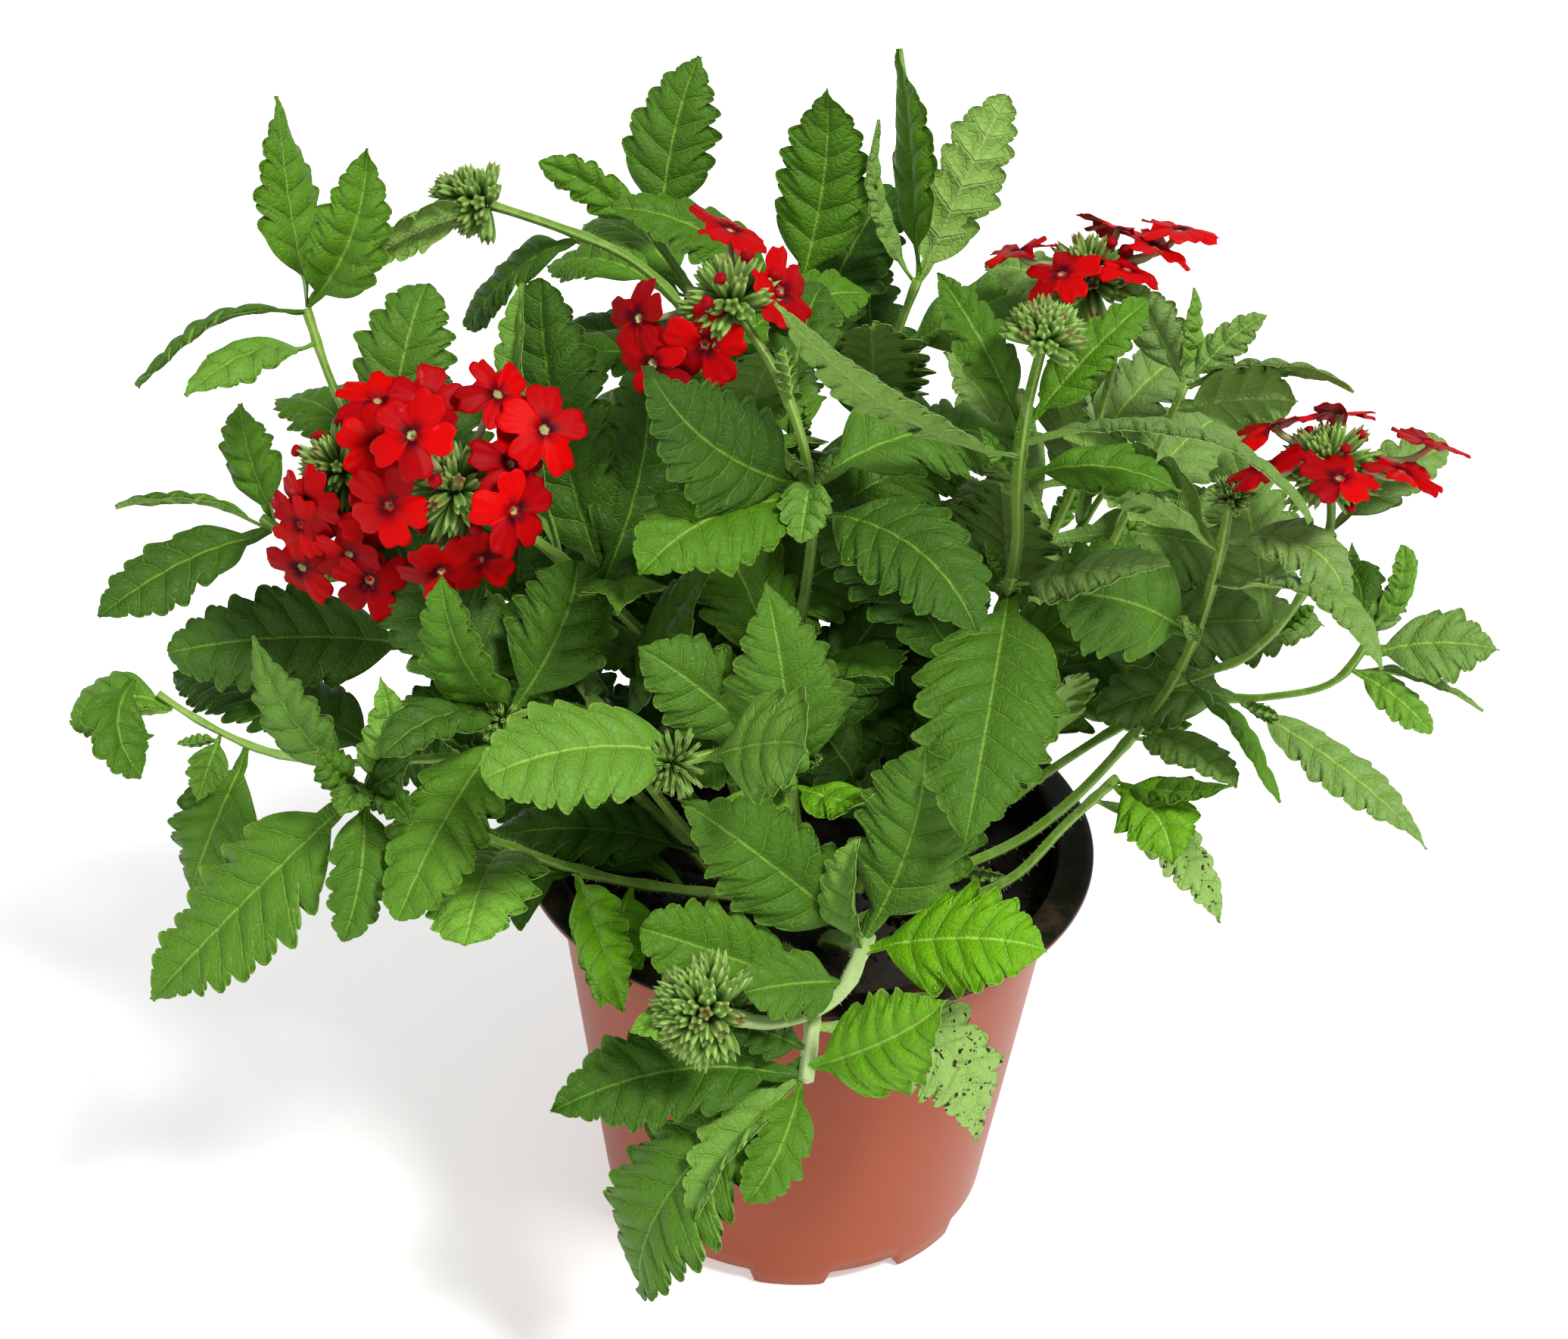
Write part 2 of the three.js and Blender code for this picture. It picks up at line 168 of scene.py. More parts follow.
def layered(colour, *layers):
    """A colour with others laid over it in turn, each given as (where it lies, how strongly, the colour)."""
    for where, strength, over in layers:
        colour = mix(times(where, strength), colour, over)
    return colour


def fade(value, start, end):
    """0 where value is at start, 1 where it is at end, and smooth between them."""
    inputs = {0: value, 1: start, 2: end, 3: 0.0, 4: 1.0}
    return node(tree_of(value), "ShaderNodeMapRange", inputs, interpolation_type="SMOOTHSTEP")[0]


def noise(place, scale, detail=3.0, roughness=0.5):
    inputs = {"Vector": place, "Scale": scale, "Detail": detail, "Roughness": roughness}
    return node(tree_of(place), "ShaderNodeTexNoise", inputs)["Fac"]


def new_material(name, **sockets):
    """A Principled material and its shader. sockets are its constants, with _ for spaces in their names."""
    material = bpy.data.materials.new(name)
    material.use_nodes = True
    shader = material.node_tree.nodes["Principled BSDF"]
    for key, value in sockets.items():
        shader.inputs[key.replace("_", " ")].default_value = value
    return material, shader


def surface_of(shader):
    """What a material reads of its mesh: the place in the object, then the four numbers of its tone."""
    tree = shader.id_data
    tone = node(tree, "ShaderNodeAttribute", attribute_name="tone")
    split = node(tree, "ShaderNodeSeparateColor", {0: tone["Color"]})
    return node(tree, "ShaderNodeTexCoord")["Object"], *split, tone["Alpha"]


def finish_surface(shader, colour, relief, strength, distance):
    """Links a material's colour, and its fine relief as a bump that is distance metres high."""
    inputs = {"Height": relief, "Strength": strength, "Distance": distance}
    bump = node(shader.id_data, "ShaderNodeBump", inputs)[0]
    for key, value in (("Base Color", colour), ("Normal", bump)):
        shader.id_data.links.new(value, shader.inputs[key])


# ---- Meshes ----


def unit(vector):
    return vector / max(np.linalg.norm(vector), 1e-12)


def smooth(value):
    """0 below 0, 1 above 1, and smooth between them."""
    value = np.clip(value, 0, 1)
    return value * value * (3 - 2 * value)


def draws(rng, low, high, count):
    return np.array([rng.uniform(low, high) for _ in range(count)])


def circle(count):
    """Angles spaced evenly around a full turn."""
    return np.arange(count) * 2 * math.pi / count


def ring_at(angles, side, normal):
    """Directions at some angles about an axis, from two directions that are square to it."""
    return np.cos(angles)[:, None] * side + np.sin(angles)[:, None] * normal


def outward_at(turn, side, normal):
    """The direction at one angle about an axis."""
    return math.cos(turn) * side + math.sin(turn) * normal


def make_mesh(name, vertices, faces, material):
    data = bpy.data.meshes.new(name)
    data.from_pydata([tuple(v) for v in vertices], [], faces)
    data.materials.append(material)
    data.polygons.foreach_set("use_smooth", [True] * len(data.polygons))
    data.update()
    return add_object(name, data)


def own(piece, slot, *nodes):
    """A finished piece of the plant: it rides on the one body. slot is not used."""
    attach(piece, "root")
    if nodes:
        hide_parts(*nodes)


def add_tone(piece, values):
    """Stores four numbers at each vertex for the piece's material to read."""
    layer = piece.data.color_attributes.new("tone", "FLOAT_COLOR", "POINT")
    layer.data.foreach_set("color", np.asarray(values, float).reshape(-1))


def grid_faces(rows, columns, closed=False):
    """Quads of a grid of vertices stored row by row. closed joins the last column to the first."""
    faces = []
    for i in range(rows - 1):
        for j in range(columns if closed else columns - 1):
            a = i * columns + j
            b = i * columns + (j + 1) % columns
            faces.append((a, b, b + columns, a + columns))
    return faces


def capped_faces(rows, columns):
    """Faces of a tube of rings whose two ends are closed on the two vertices that follow the rings."""
    faces = grid_faces(rows, columns, closed=True)
    first, last = rows * columns, rows * columns + 1
    for j in range(columns):
        following = (j + 1) % columns
        faces.append((first, following, j))
        faces.append((last, (rows - 1) * columns + j, (rows - 1) * columns + following))
    return faces


class Parts:
    """Collects the vertices, faces and tones of many small closed shapes that make one mesh."""

    def __init__(self):
        self.vertices, self.faces, self.tones, self.count = [], [], [], 0

    def add(self, vertices, faces, tones):
        self.vertices.append(vertices)
        self.faces += [tuple(i + self.count for i in face) for face in faces]
        self.tones.append(tones)
        self.count += len(vertices)

    def add_rings(self, rows, first, last, tones):
        """Adds a tube of rings, closed on a point before the first and a point after the last."""
        vertices = np.vstack([*rows, first, last])
        self.add(vertices, capped_faces(len(rows), len(rows[0])), np.array(tones, float))

    def mesh(self, name, material):
        piece = make_mesh(name, np.vstack(self.vertices), self.faces, material)
        add_tone(piece, np.vstack(self.tones))
        return piece


# ---- Reading the frame ----

CURVE_STEPS = 8
STRAND_POINTS = 49


def frame_rings(name):
    """The rings of vertices of a bent cylinder of the frame, from one end to the other."""
    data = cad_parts[name].data
    keys = {}
    index = [keys.setdefault(tuple(round(c, 6) for c in v.co), len(keys)) for v in data.vertices]
    points = np.array(list(keys))
    near = [set() for _ in points]
    for polygon in data.polygons:
        loop = [index[v] for v in polygon.vertices]
        for a in loop:
            near[a].update(b for b in loop if b != a)
    pole = next(i for i, around in enumerate(near) if all(len(near[j]) == 5 for j in around))
    seen, level, rings = {pole}, [pole], []
    while level:
        level = sorted({b for a in level for b in near[a]} - seen)
        seen.update(level)
        if len(level) > 1:
            rings.append(points[level])
    return rings


def even_points(points, count):
    """Points evenly spaced on a smooth curve through the given points."""
    points = np.asarray(points, float)
    padded = np.vstack([2 * points[0] - points[1], points, 2 * points[-1] - points[-2]])
    dense = [points[0]]
    for a, b, c, d in zip(padded, padded[1:], padded[2:], padded[3:]):
        slope, curve, twist = c - a, 2 * a - 5 * b + 4 * c - d, 3 * b - a - 3 * c + d
        for k in range(1, CURVE_STEPS + 1):
            s = k / CURVE_STEPS
            dense.append(0.5 * (2 * b + slope * s + curve * s**2 + twist * s**3))
    dense = np.array(dense)
    travelled = np.concatenate([[0], np.cumsum(np.linalg.norm(np.diff(dense, axis=0), axis=1))])
    wanted = np.linspace(0, travelled[-1], count)
    return np.stack([np.interp(wanted, travelled, dense[:, k]) for k in range(3)], 1), travelled[-1]


class Strand:
    """A smooth centreline with a side and an upper direction that turn with it as little as they can."""

    def __init__(self, points, face, count=STRAND_POINTS):
        self.points, self.length = even_points(points, count)
        self.tangents = np.array([unit(v) for v in np.gradient(self.points, axis=0)])
        normal = np.asarray(face, float)
        self.normals = []
        for tangent in self.tangents:
            normal = unit(normal - normal.dot(tangent) * tangent)
            self.normals.append(normal)
        self.normals = np.array(self.normals)
        self.sides = np.cross(self.tangents, self.normals)

    def turned(self, angles):
        """The same centreline with its frame turned about it by an angle at each of its points."""
        cosine, sine = np.cos(angles)[:, None], np.sin(angles)[:, None]
        self.normals, self.sides = (
            cosine * self.normals + sine * self.sides,
            cosine * self.sides - sine * self.normals,
        )
        return self

    def facing(self, place, direction):
        """The same centreline, turned for its upper side to face a direction at one of its points."""
        angle = math.atan2(direction.dot(self.sides[place]), direction.dot(self.normals[place]))
        return self.turned(np.full(len(self.points), angle))

    def at(self, fraction):
        """Place, tangent, side and upper direction at fractions of the length, straight on past the ends."""
        fraction = np.asarray(fraction, float)
        steps = np.linspace(0, 1, len(self.points))
        inside = np.clip(fraction, 0, 1)
        found = [
            np.stack([np.interp(inside, steps, values[:, k]) for k in range(3)], -1)
            for values in (self.points, self.tangents, self.sides, self.normals)
        ]
        found[0] = found[0] + ((fraction - inside) * self.length)[..., None] * found[1]
        return found

    def nearest(self, point):
        """The fraction of the length at the centreline's nearest point, and how far off that is."""
        gaps = np.linalg.norm(self.points - np.asarray(point, float), axis=1)
        best = int(gaps.argmin())
        return best / (len(self.points) - 1), gaps[best]


def bowed_points(start, tip, bow):
    """Points of a bent line from start to tip, its middle standing off by bow."""
    t = np.linspace(0, 1, 7)[:, None]
    control = (start + tip) / 2 + 2 * bow
    return (1 - t) ** 2 * start + 2 * t * (1 - t) * control + t**2 * tip


# ---- Stems ----

STEM_AROUND = 16
STEM_ROW_STEP = 2.2 * MM
STEM_IN_SOIL = 5 * MM
STEM_RIDGE = 0.12
STEM_FACE = (0.3, -1, 0.2)
STEM_SLIMNESS = 0.8
STOUTNESS = 1.1
STOUT_STEMS = ("stem_front", "stem_front_low")
FORK_HEIGHT = 0.095
FORK_RUN = 8 * MM
NODE_SWELLING = 0.3
NODE_LENGTH = 2.2 * MM
STALK_DEPTH = 0.7
HAIRS_PER_METRE = 2200
HAIR_LENGTH = 1.1 * MM
HAIR_RADIUS = 0.055 * MM


def read_stems():
    """The strand of every stem of the frame, and its radii at its base and its tip."""
    strands, radii = {}, {}
    for name in sorted(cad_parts):
        if name.startswith("stem_"):
            rings = frame_rings(name)
            if rings[0].mean(0)[2] > rings[-1].mean(0)[2]:
                rings.reverse()
            strands[name] = Strand([ring.mean(0) for ring in rings], STEM_FACE)
            ends = rings[0], rings[-1]
            radii[name] = [np.linalg.norm(ring - ring.mean(0), axis=1).mean() for ring in ends]
    return strands, radii


STEMS, STEM_RADII = read_stems()


def nearest_stem(point):
    return min(STEMS, key=lambda name: STEMS[name].nearest(point)[1])


def stem_radius(name, fraction):
    base, tip = STEM_RADII[name]
    share = STOUTNESS if name in STOUT_STEMS else STEM_SLIMNESS
    return share * (base + (tip - base) * fraction)


def under_skin(name, fraction, centre, outward):
    """The place a little under a stem's skin that a stalk starts from."""
    return centre + outward * stem_radius(name, fraction) * STALK_DEPTH


def rooted_points(name):
    """A stem's centreline, carried on into the soil, or into the stem that it forks from."""
    points = STEMS[name].points
    if points[0][2] < FORK_HEIGHT:
        start = points[0] + unit(points[0] - points[3] - 0.6 * STEM_IN_SOIL * UP) * STEM_IN_SOIL
        return np.vstack([start, points[2:]])
    others = [strand for other, strand in STEMS.items() if other != name]
    parent = min(others, key=lambda strand: strand.nearest(points[0])[1])
    below = points[0] + unit(points[0] - points[4]) * FORK_RUN - UP * FORK_RUN / 2
    start = parent.at(parent.nearest(below)[0])[0]
    return np.vstack([start, points[5::4]])


def ridged_tube(strand, radius_at):
    """Rings of a tube with four soft ridges along it."""
    fractions = np.linspace(0, 1, max(4, int(strand.length / STEM_ROW_STEP)))
    places, _, sides, normals = strand.at(fractions)
    angles = circle(STEM_AROUND)
    radii = np.array([radius_at(f) for f in fractions])[:, None] * (1 + STEM_RIDGE * np.cos(4 * angles))
    return places[:, None] + radii[..., None] * ring_at(angles, sides[:, None], normals[:, None])


def add_hairs(parts, strand, radius_at, rng):
    """Short pale hairs that stand out all around a stem."""
    for _ in range(int(strand.length * HAIRS_PER_METRE)):
        fraction, turn = rng.uniform(0.02, 0.99), rng.uniform(0, 2 * math.pi)
        centre, tangent, side, normal = strand.at(fraction)
        outward = outward_at(turn, side, normal)
        across = unit(np.cross(outward, tangent))
        root = centre + outward * radius_at(fraction) * 0.92
        lean = unit(outward + tangent * rng.uniform(-0.4, 0.5) + across * rng.uniform(-0.4, 0.4))
        corners = [tangent, across - 0.5 * tangent, -across - 0.5 * tangent]
        base = [root + HAIR_RADIUS * corner for corner in corners]
        tip = root + lean * rng.uniform(0.5, 1) * HAIR_LENGTH
        parts.add(np.array([*base, tip]), [(0, 2, 1), (0, 1, 3), (1, 2, 3), (2, 0, 3)], np.ones((4, 4)))


def build_stem(name, material, nodes_on_it):
    """A stem. Its tone: 1 on a hair, 1 on a ridge, how pale it is."""
    strand = Strand(rooted_points(name), STEM_FACE)

    def radius_at(fraction):
        gaps = [(fraction - f) * strand.length / NODE_LENGTH for f in nodes_on_it]
        swelling = sum(math.exp(-(gap**2)) for gap in gaps)
        return stem_radius(name, fraction) * (1 + NODE_SWELLING * min(1, swelling))

    rings = ridged_tube(strand, radius_at)
    count = rings.shape[0] * STEM_AROUND
    ridges = 0.5 + 0.5 * np.cos(4 * np.arange(count + 2) * 2 * math.pi / STEM_AROUND)
    pale = np.linspace(0, float(name in STOUT_STEMS), rings.shape[0]).repeat(STEM_AROUND)
    pale = np.append(pale, [pale[0], pale[-1]])
    parts = Parts()
    ends = strand.at([0, 1])[0]
    parts.add_rings(rings, *ends, np.stack([0 * ridges, ridges, pale, 0 * ridges], 1))
    add_hairs(parts, strand, radius_at, random.Random(name))
    own(parts.mesh(name + "_skin", material), "stem", name)


# ---- Leaves ----

LEAF_COLUMNS = 6
STALK_ROWS = 6
STALK_SHARE = 0.13
STALK_WIDTH = 0.075
BLADE_TIP = 0.03
TOOTH_DEPTH = 0.4
VEIN_SPACING = 6.2 * MM
FEWEST_VEINS, MOST_VEINS = 4, 8
SWEEP = 0.66
SHOULDER = 0.42
MIDRIB_BAND = 1.1 * MM
QUILT_HEIGHT = 1.9 * MM
CHANNEL_DEPTH = 0.45 * MM
CHANNEL_WIDTH = 0.7 * MM
FOLD_ROUNDING = 0.8 * MM
CAMBER = 0.22
LEAF_THICKNESS = 0.28 * MM
MIDRIB_THICKNESS = 0.5 * MM
MIDRIB_WIDTH = 0.5 * MM

# The margin from one vein to the next: the share of the way, and the share of a tooth's depth that is cut
# away there. A broad round tooth stands at each vein and a smaller one halfway.
TOOTH_PROFILE = (
    (0.0, 0.0),
    (0.12, 0.06),
    (0.23, 0.34),
    (0.32, 1.0),
    (0.41, 0.72),
    (0.52, 0.46),
    (0.64, 0.36),
    (0.71, 0.56),
    (0.78, 0.22),
    (0.89, 0.05),
)

# How a leaf looks: lightness, yellowness, brown spots, depth of the quilting, fold and waviness. The grey
# look's pale grey-green is partly the hairy leaves' own colour and partly painted sheen of light on them.
Look = namedtuple("Look", "light yellow spots quilt fold wave")
LOOKS = {
    "bright": Look(1.0, 0.85, 0.0, 0.6, 0.16, 0.05),
    "deep": Look(0.33, 0.9, 0.0, 0.65, 0.16, 0.05),
    "mid": Look(0.32, 0.95, 0.05, 0.65, 0.16, 0.05),
    "dark": Look(0.05, 0.8, 0.0, 0.75, 0.16, 0.05),
    "slate": Look(0.25, 0.6, 0.0, 0.7, 0.16, 0.05),
    "soft": Look(0.6, 0.6, 0.05, 0.6, 0.1, 0.04),
    "grey": Look(0.72, 0.05, 0.05, 0.6, 0.1, 0.04),
    "old": Look(1.0, 0.35, 1.0, 0.5, 0.12, 0.05),
    "young": Look(0.75, 0.55, 0.0, 1.0, 0.35, 0.03),
    "cupped": Look(0.4, 0.7, 0.0, 0.65, 0.5, 0.06),
    "folded": Look(0.8, 0.55, 0.0, 0.6, 0.9, 0.06),
}


def blade_rows(veins):
    """Each row of a leaf as its vein count from the base and its fraction of the midrib's length."""
    stalk = np.linspace(0, STALK_SHARE, STALK_ROWS, endpoint=False)
    counts = np.append([vein + phase for vein in range(veins + 1) for phase, _ in TOOTH_PROFILE], veins + 1)
    share = 1 - (1 - counts / (veins + 1)) ** 1.12
    blade = STALK_SHARE + (1 - STALK_SHARE) * share
    counts = np.concatenate([stalk / STALK_SHARE - 1, counts])
    return counts, np.concatenate([stalk, blade])


def blade_reach(fractions, half_width, taper):
    """How far the blade reaches from the midrib, teeth left out: a narrow stalk, then a broad ovate blade.

    The higher the taper, the longer its point.
    """
    share = np.clip((fractions - STALK_SHARE) / (1 - STALK_SHARE), 0, 1)
    widest = SHOULDER / (SHOULDER + taper)
    blade = (share / widest) ** SHOULDER * ((1 - share) / (1 - widest)) ** taper
    stalk = STALK_WIDTH + 0.08 * smooth(fractions / STALK_SHARE)
    return half_width * np.maximum(blade, np.where(share > 0, BLADE_TIP, stalk))


def tooth_loss(counts, veins, rng):
    """The share of the reach that each row loses between the teeth, on the left and on the right."""
    phase = counts - np.floor(counts)
    steps, cuts = zip(*TOOTH_PROFILE)
    loss = np.interp(phase, (*steps, 1), (*cuts, cuts[0]))
    strength = smooth((counts - 0.35) / 0.9) * (1.1 - 0.5 * counts / (veins + 1))
    at = np.clip(np.floor(counts).astype(int) + 1, 0, veins + 2)
    sides = []
    for _ in range(2):
        firsts, seconds = draws(rng, 0.65, 1.25, veins + 3), draws(rng, 0.5, 1.1, veins + 3)
        size = np.where((phase > 0.4) & (phase < 0.85), seconds[at], 1) * firsts[at]
        sides.append(TOOTH_DEPTH * strength * loss * size)
    return sides


class Blade:
    """A leaf's vertices, row by row from edge to edge, first spread flat and then lifted into shape."""

    def __init__(self, strand, width, rng):
        self.strand, self.width = strand, width
        veins = int(np.clip(round(strand.length * 0.86 / VEIN_SPACING), FEWEST_VEINS, MOST_VEINS))
        self.counts, fractions = blade_rows(veins)
        self.fractions = fractions[:, None]
        self.across = np.linspace(-1, 1, 2 * LEAF_COLUMNS + 1)[None, :]
        self.reach = blade_reach(fractions, width / 2, rng.uniform(0.72, 1.15))[:, None]
        loss = self.either(*(side[:, None] for side in tooth_loss(self.counts, veins, rng)))
        jitter = 1 + 0.1 * draws(rng, -1, 1, 2 * (veins + 3)).reshape(-1, 2)
        sizes = [np.interp(self.counts, range(-1, veins + 2), jitter[:, k])[:, None] for k in (0, 1)]
        v = np.abs(self.across)
        span = self.reach * self.either(*sizes) * (1 - loss * smooth((v - 0.35) / 0.65))
        inner = np.minimum(MIDRIB_BAND, span / LEAF_COLUMNS)
        column = v * LEAF_COLUMNS
        beyond = inner + (span - inner) * ((column - 1) / (LEAF_COLUMNS - 1))
        self.y = np.sign(self.across) * np.where(column <= 1.01, inner * v * LEAF_COLUMNS, beyond)
        sweep = self.reach * SWEEP * (0.7 * v + 0.3 * v**2) * np.where(fractions < STALK_SHARE, 0, 1)[:, None]
        self.along = self.fractions + sweep / strand.length

    def either(self, left, right):
        """Values given for the left and the right half, at each column."""
        return np.where(self.across < 0, left, right)

    def lift(self, look, rng):
        """How far each vertex stands off: quilting, midrib channel, fold, camber and wavy margin."""
        v, y, counts = np.abs(self.across), self.y, self.counts[:, None]
        between = np.sin(math.pi * (counts - np.floor(counts))) ** 0.8
        bulge = np.sin(math.pi * np.clip(v, 0.02, 0.98)) ** 0.7
        on_blade = smooth(counts + 0.2) * (self.reach / (self.width / 2))
        quilt = look.quilt * QUILT_HEIGHT * between * bulge * on_blade
        channel = -CHANNEL_DEPTH * np.exp(-((y / CHANNEL_WIDTH) ** 2)) * smooth(counts + 1.2)
        fold = look.fold * (np.sqrt(y**2 + FOLD_ROUNDING**2) - FOLD_ROUNDING)
        camber = -CAMBER * self.reach * v**2.5
        phases = draws(rng, 0, 6.3, 4)
        wave = self.either(*(np.sin(9 * self.along + phase) for phase in phases[:2]))
        ripple = self.either(*(np.sin(25 * self.along + phase) for phase in phases[2:]))
        return quilt + channel + fold + camber + look.wave * self.width * v**2 * (wave + 0.35 * ripple)

    def vertices(self, look, rng):
        """The upper side, then the lower side."""
        midrib = MIDRIB_THICKNESS * np.exp(-((self.y / MIDRIB_WIDTH) ** 2)) * (1 - self.fractions * 0.6)
        thickness = LEAF_THICKNESS * (1 - 0.4 * np.abs(self.across)) + midrib
        places, _, sides, normals = self.strand.at(self.along)
        top = places + self.y[..., None] * sides + self.lift(look, rng)[..., None] * normals
        bottom = top - thickness[..., None] * normals
        return np.concatenate([top.reshape(-1, 3), bottom.reshape(-1, 3)])

    def vein_map(self):
        """For each vertex, the vein count of its row and how far across it is, for the leaf's material."""
        spread = [np.broadcast_to(values, self.y.shape) for values in (self.counts[:, None], self.across)]
        return np.concatenate([np.stack(spread, -1).reshape(-1, 2)] * 2)

    def faces(self):
        rows, columns = self.y.shape
        count = rows * columns
        upper = grid_faces(rows, columns)
        rim = [i * columns for i in range(rows)]
        rim += [(rows - 1) * columns + j for j in range(1, columns)]
        rim += [i * columns + columns - 1 for i in range(rows - 2, -1, -1)]
        rim += list(range(columns - 2, 0, -1))
        edge = [(a, a + count, b + count, b) for a, b in zip(rim, rim[1:] + rim[:1])]
        return upper + [tuple(i + count for i in reversed(face)) for face in upper] + edge


def build_leaf(name, strand, width, look_name, material, seed, *replaced):
    """A leaf. Its tone: light, yellow, 1 on its lower side, how spotted it is."""
    rng = random.Random(seed)
    look = LOOKS[look_name]
    strand.turned(np.linspace(0, math.radians(rng.uniform(-14, 14)), len(strand.points)))
    blade = Blade(strand, width, rng)
    piece = make_mesh(name, blade.vertices(look, rng), blade.faces(), material)
    layer = piece.data.uv_layers.new(name="veins")
    loops = np.zeros(len(piece.data.loops), int)
    piece.data.loops.foreach_get("vertex_index", loops)
    layer.data.foreach_set("uv", blade.vein_map()[loops].reshape(-1))
    light = np.clip(look.light + rng.uniform(-0.15, 0.15), 0, 1)
    yellow = np.clip(look.yellow + rng.uniform(-0.2, 0.2), 0, 1)
    add_tone(piece, [(light, yellow, under, look.spots) for under in np.repeat([0.0, 1.0], blade.y.size)])
    own(piece, "leaf", *replaced)


def stalk_root(point, tip):
    """The stem nearest to a point, and the place on it and under its skin that a stalk leaves from."""
    name = nearest_stem(point)
    fraction = STEMS[name].nearest(point)[0]
    centre, tangent, _, _ = STEMS[name].at(fraction)
    outward = np.asarray(tip, float) - centre
    outward = unit(outward - outward.dot(tangent) * tangent)
    return name, fraction, under_skin(name, fraction, centre, outward)


def frame_leaf(name):
    """A leaf of the frame as its strand, from the skin of its stem to its tip, and its width."""
    rings = frame_rings(name)
    ends = [rings[0].mean(0), rings[-1].mean(0)]
    first, last = (min(strand.nearest(end)[1] for strand in STEMS.values()) for end in ends)
    if last < first:
        rings.reverse()
    centres, lifts, widths = [], [], []
    for ring in rings:
        gaps = np.linalg.norm(ring[:, None] - ring[None], axis=2)
        a, b = divmod(int(gaps.argmax()), len(ring))
        inner = ring[[k for k in range(len(ring)) if k not in (a, b)]].mean(0)
        centres.append(inner)
        lifts.append((ring[a] + ring[b]) / 2 - inner)
        widths.append(gaps.max())
    widest = int(np.argmax(widths))
    root = stalk_root(centres[0], centres[-1])[2]
    strand = Strand(np.vstack([root, centres[1:]]), UP)
    place = round(widest / (len(rings) - 1) * (len(strand.points) - 1))
    return strand.facing(place, lifts[widest]), max(widths)


def free_leaf(start, tip, bow, face):
    """A leaf's strand from a place on a stem to its tip, its middle standing off by bow."""
    strand = Strand(bowed_points(stalk_root(start, tip)[2], tip, bow), UP)
    return strand.facing(len(strand.points) // 2, np.array(face, float))


# Leaves of the frame: the look of each, and how many times wider its blade is than there.
FRAME_LEAVES = {
    "leaf_left_spire": ("mid", 1.45),
    "leaf_left_droop": ("soft", 1.45),
    "leaf_left_upright": ("mid", 1.7),
    "leaf_left_spotted": ("dark", 1.2),
    "leaf_left_broad": ("slate", 1.05),
    "leaf_left_low": ("slate", 1),
    "leaf_far_left_hanging": ("deep", 1.1),
    "leaf_left_centre_low": ("mid", 1.15),
    "leaf_centre_tall": ("dark", 1.1),
    "leaf_centre_right": ("dark", 1.1),
    "leaf_dome_left": ("grey", 1),
    "leaf_dome_right": ("grey", 1),
    "leaf_dome_low": ("mid", 1.1),
    "leaf_back_left": ("deep", 0.95),
    "leaf_back_top": ("deep", 1),
    "leaf_back_pale": ("grey", 1.1),
    "leaf_right_mid": ("grey", 1),
    "leaf_far_right": ("grey", 1.4),
    "leaf_right_stalked": ("grey", 1),
    "leaf_right_low": ("old", 1),
    "leaf_front_right": ("bright", 1.15),
    "leaf_front_left": ("dark", 1.1),
    "leaf_front_hanging": ("mid", 1.25),
}

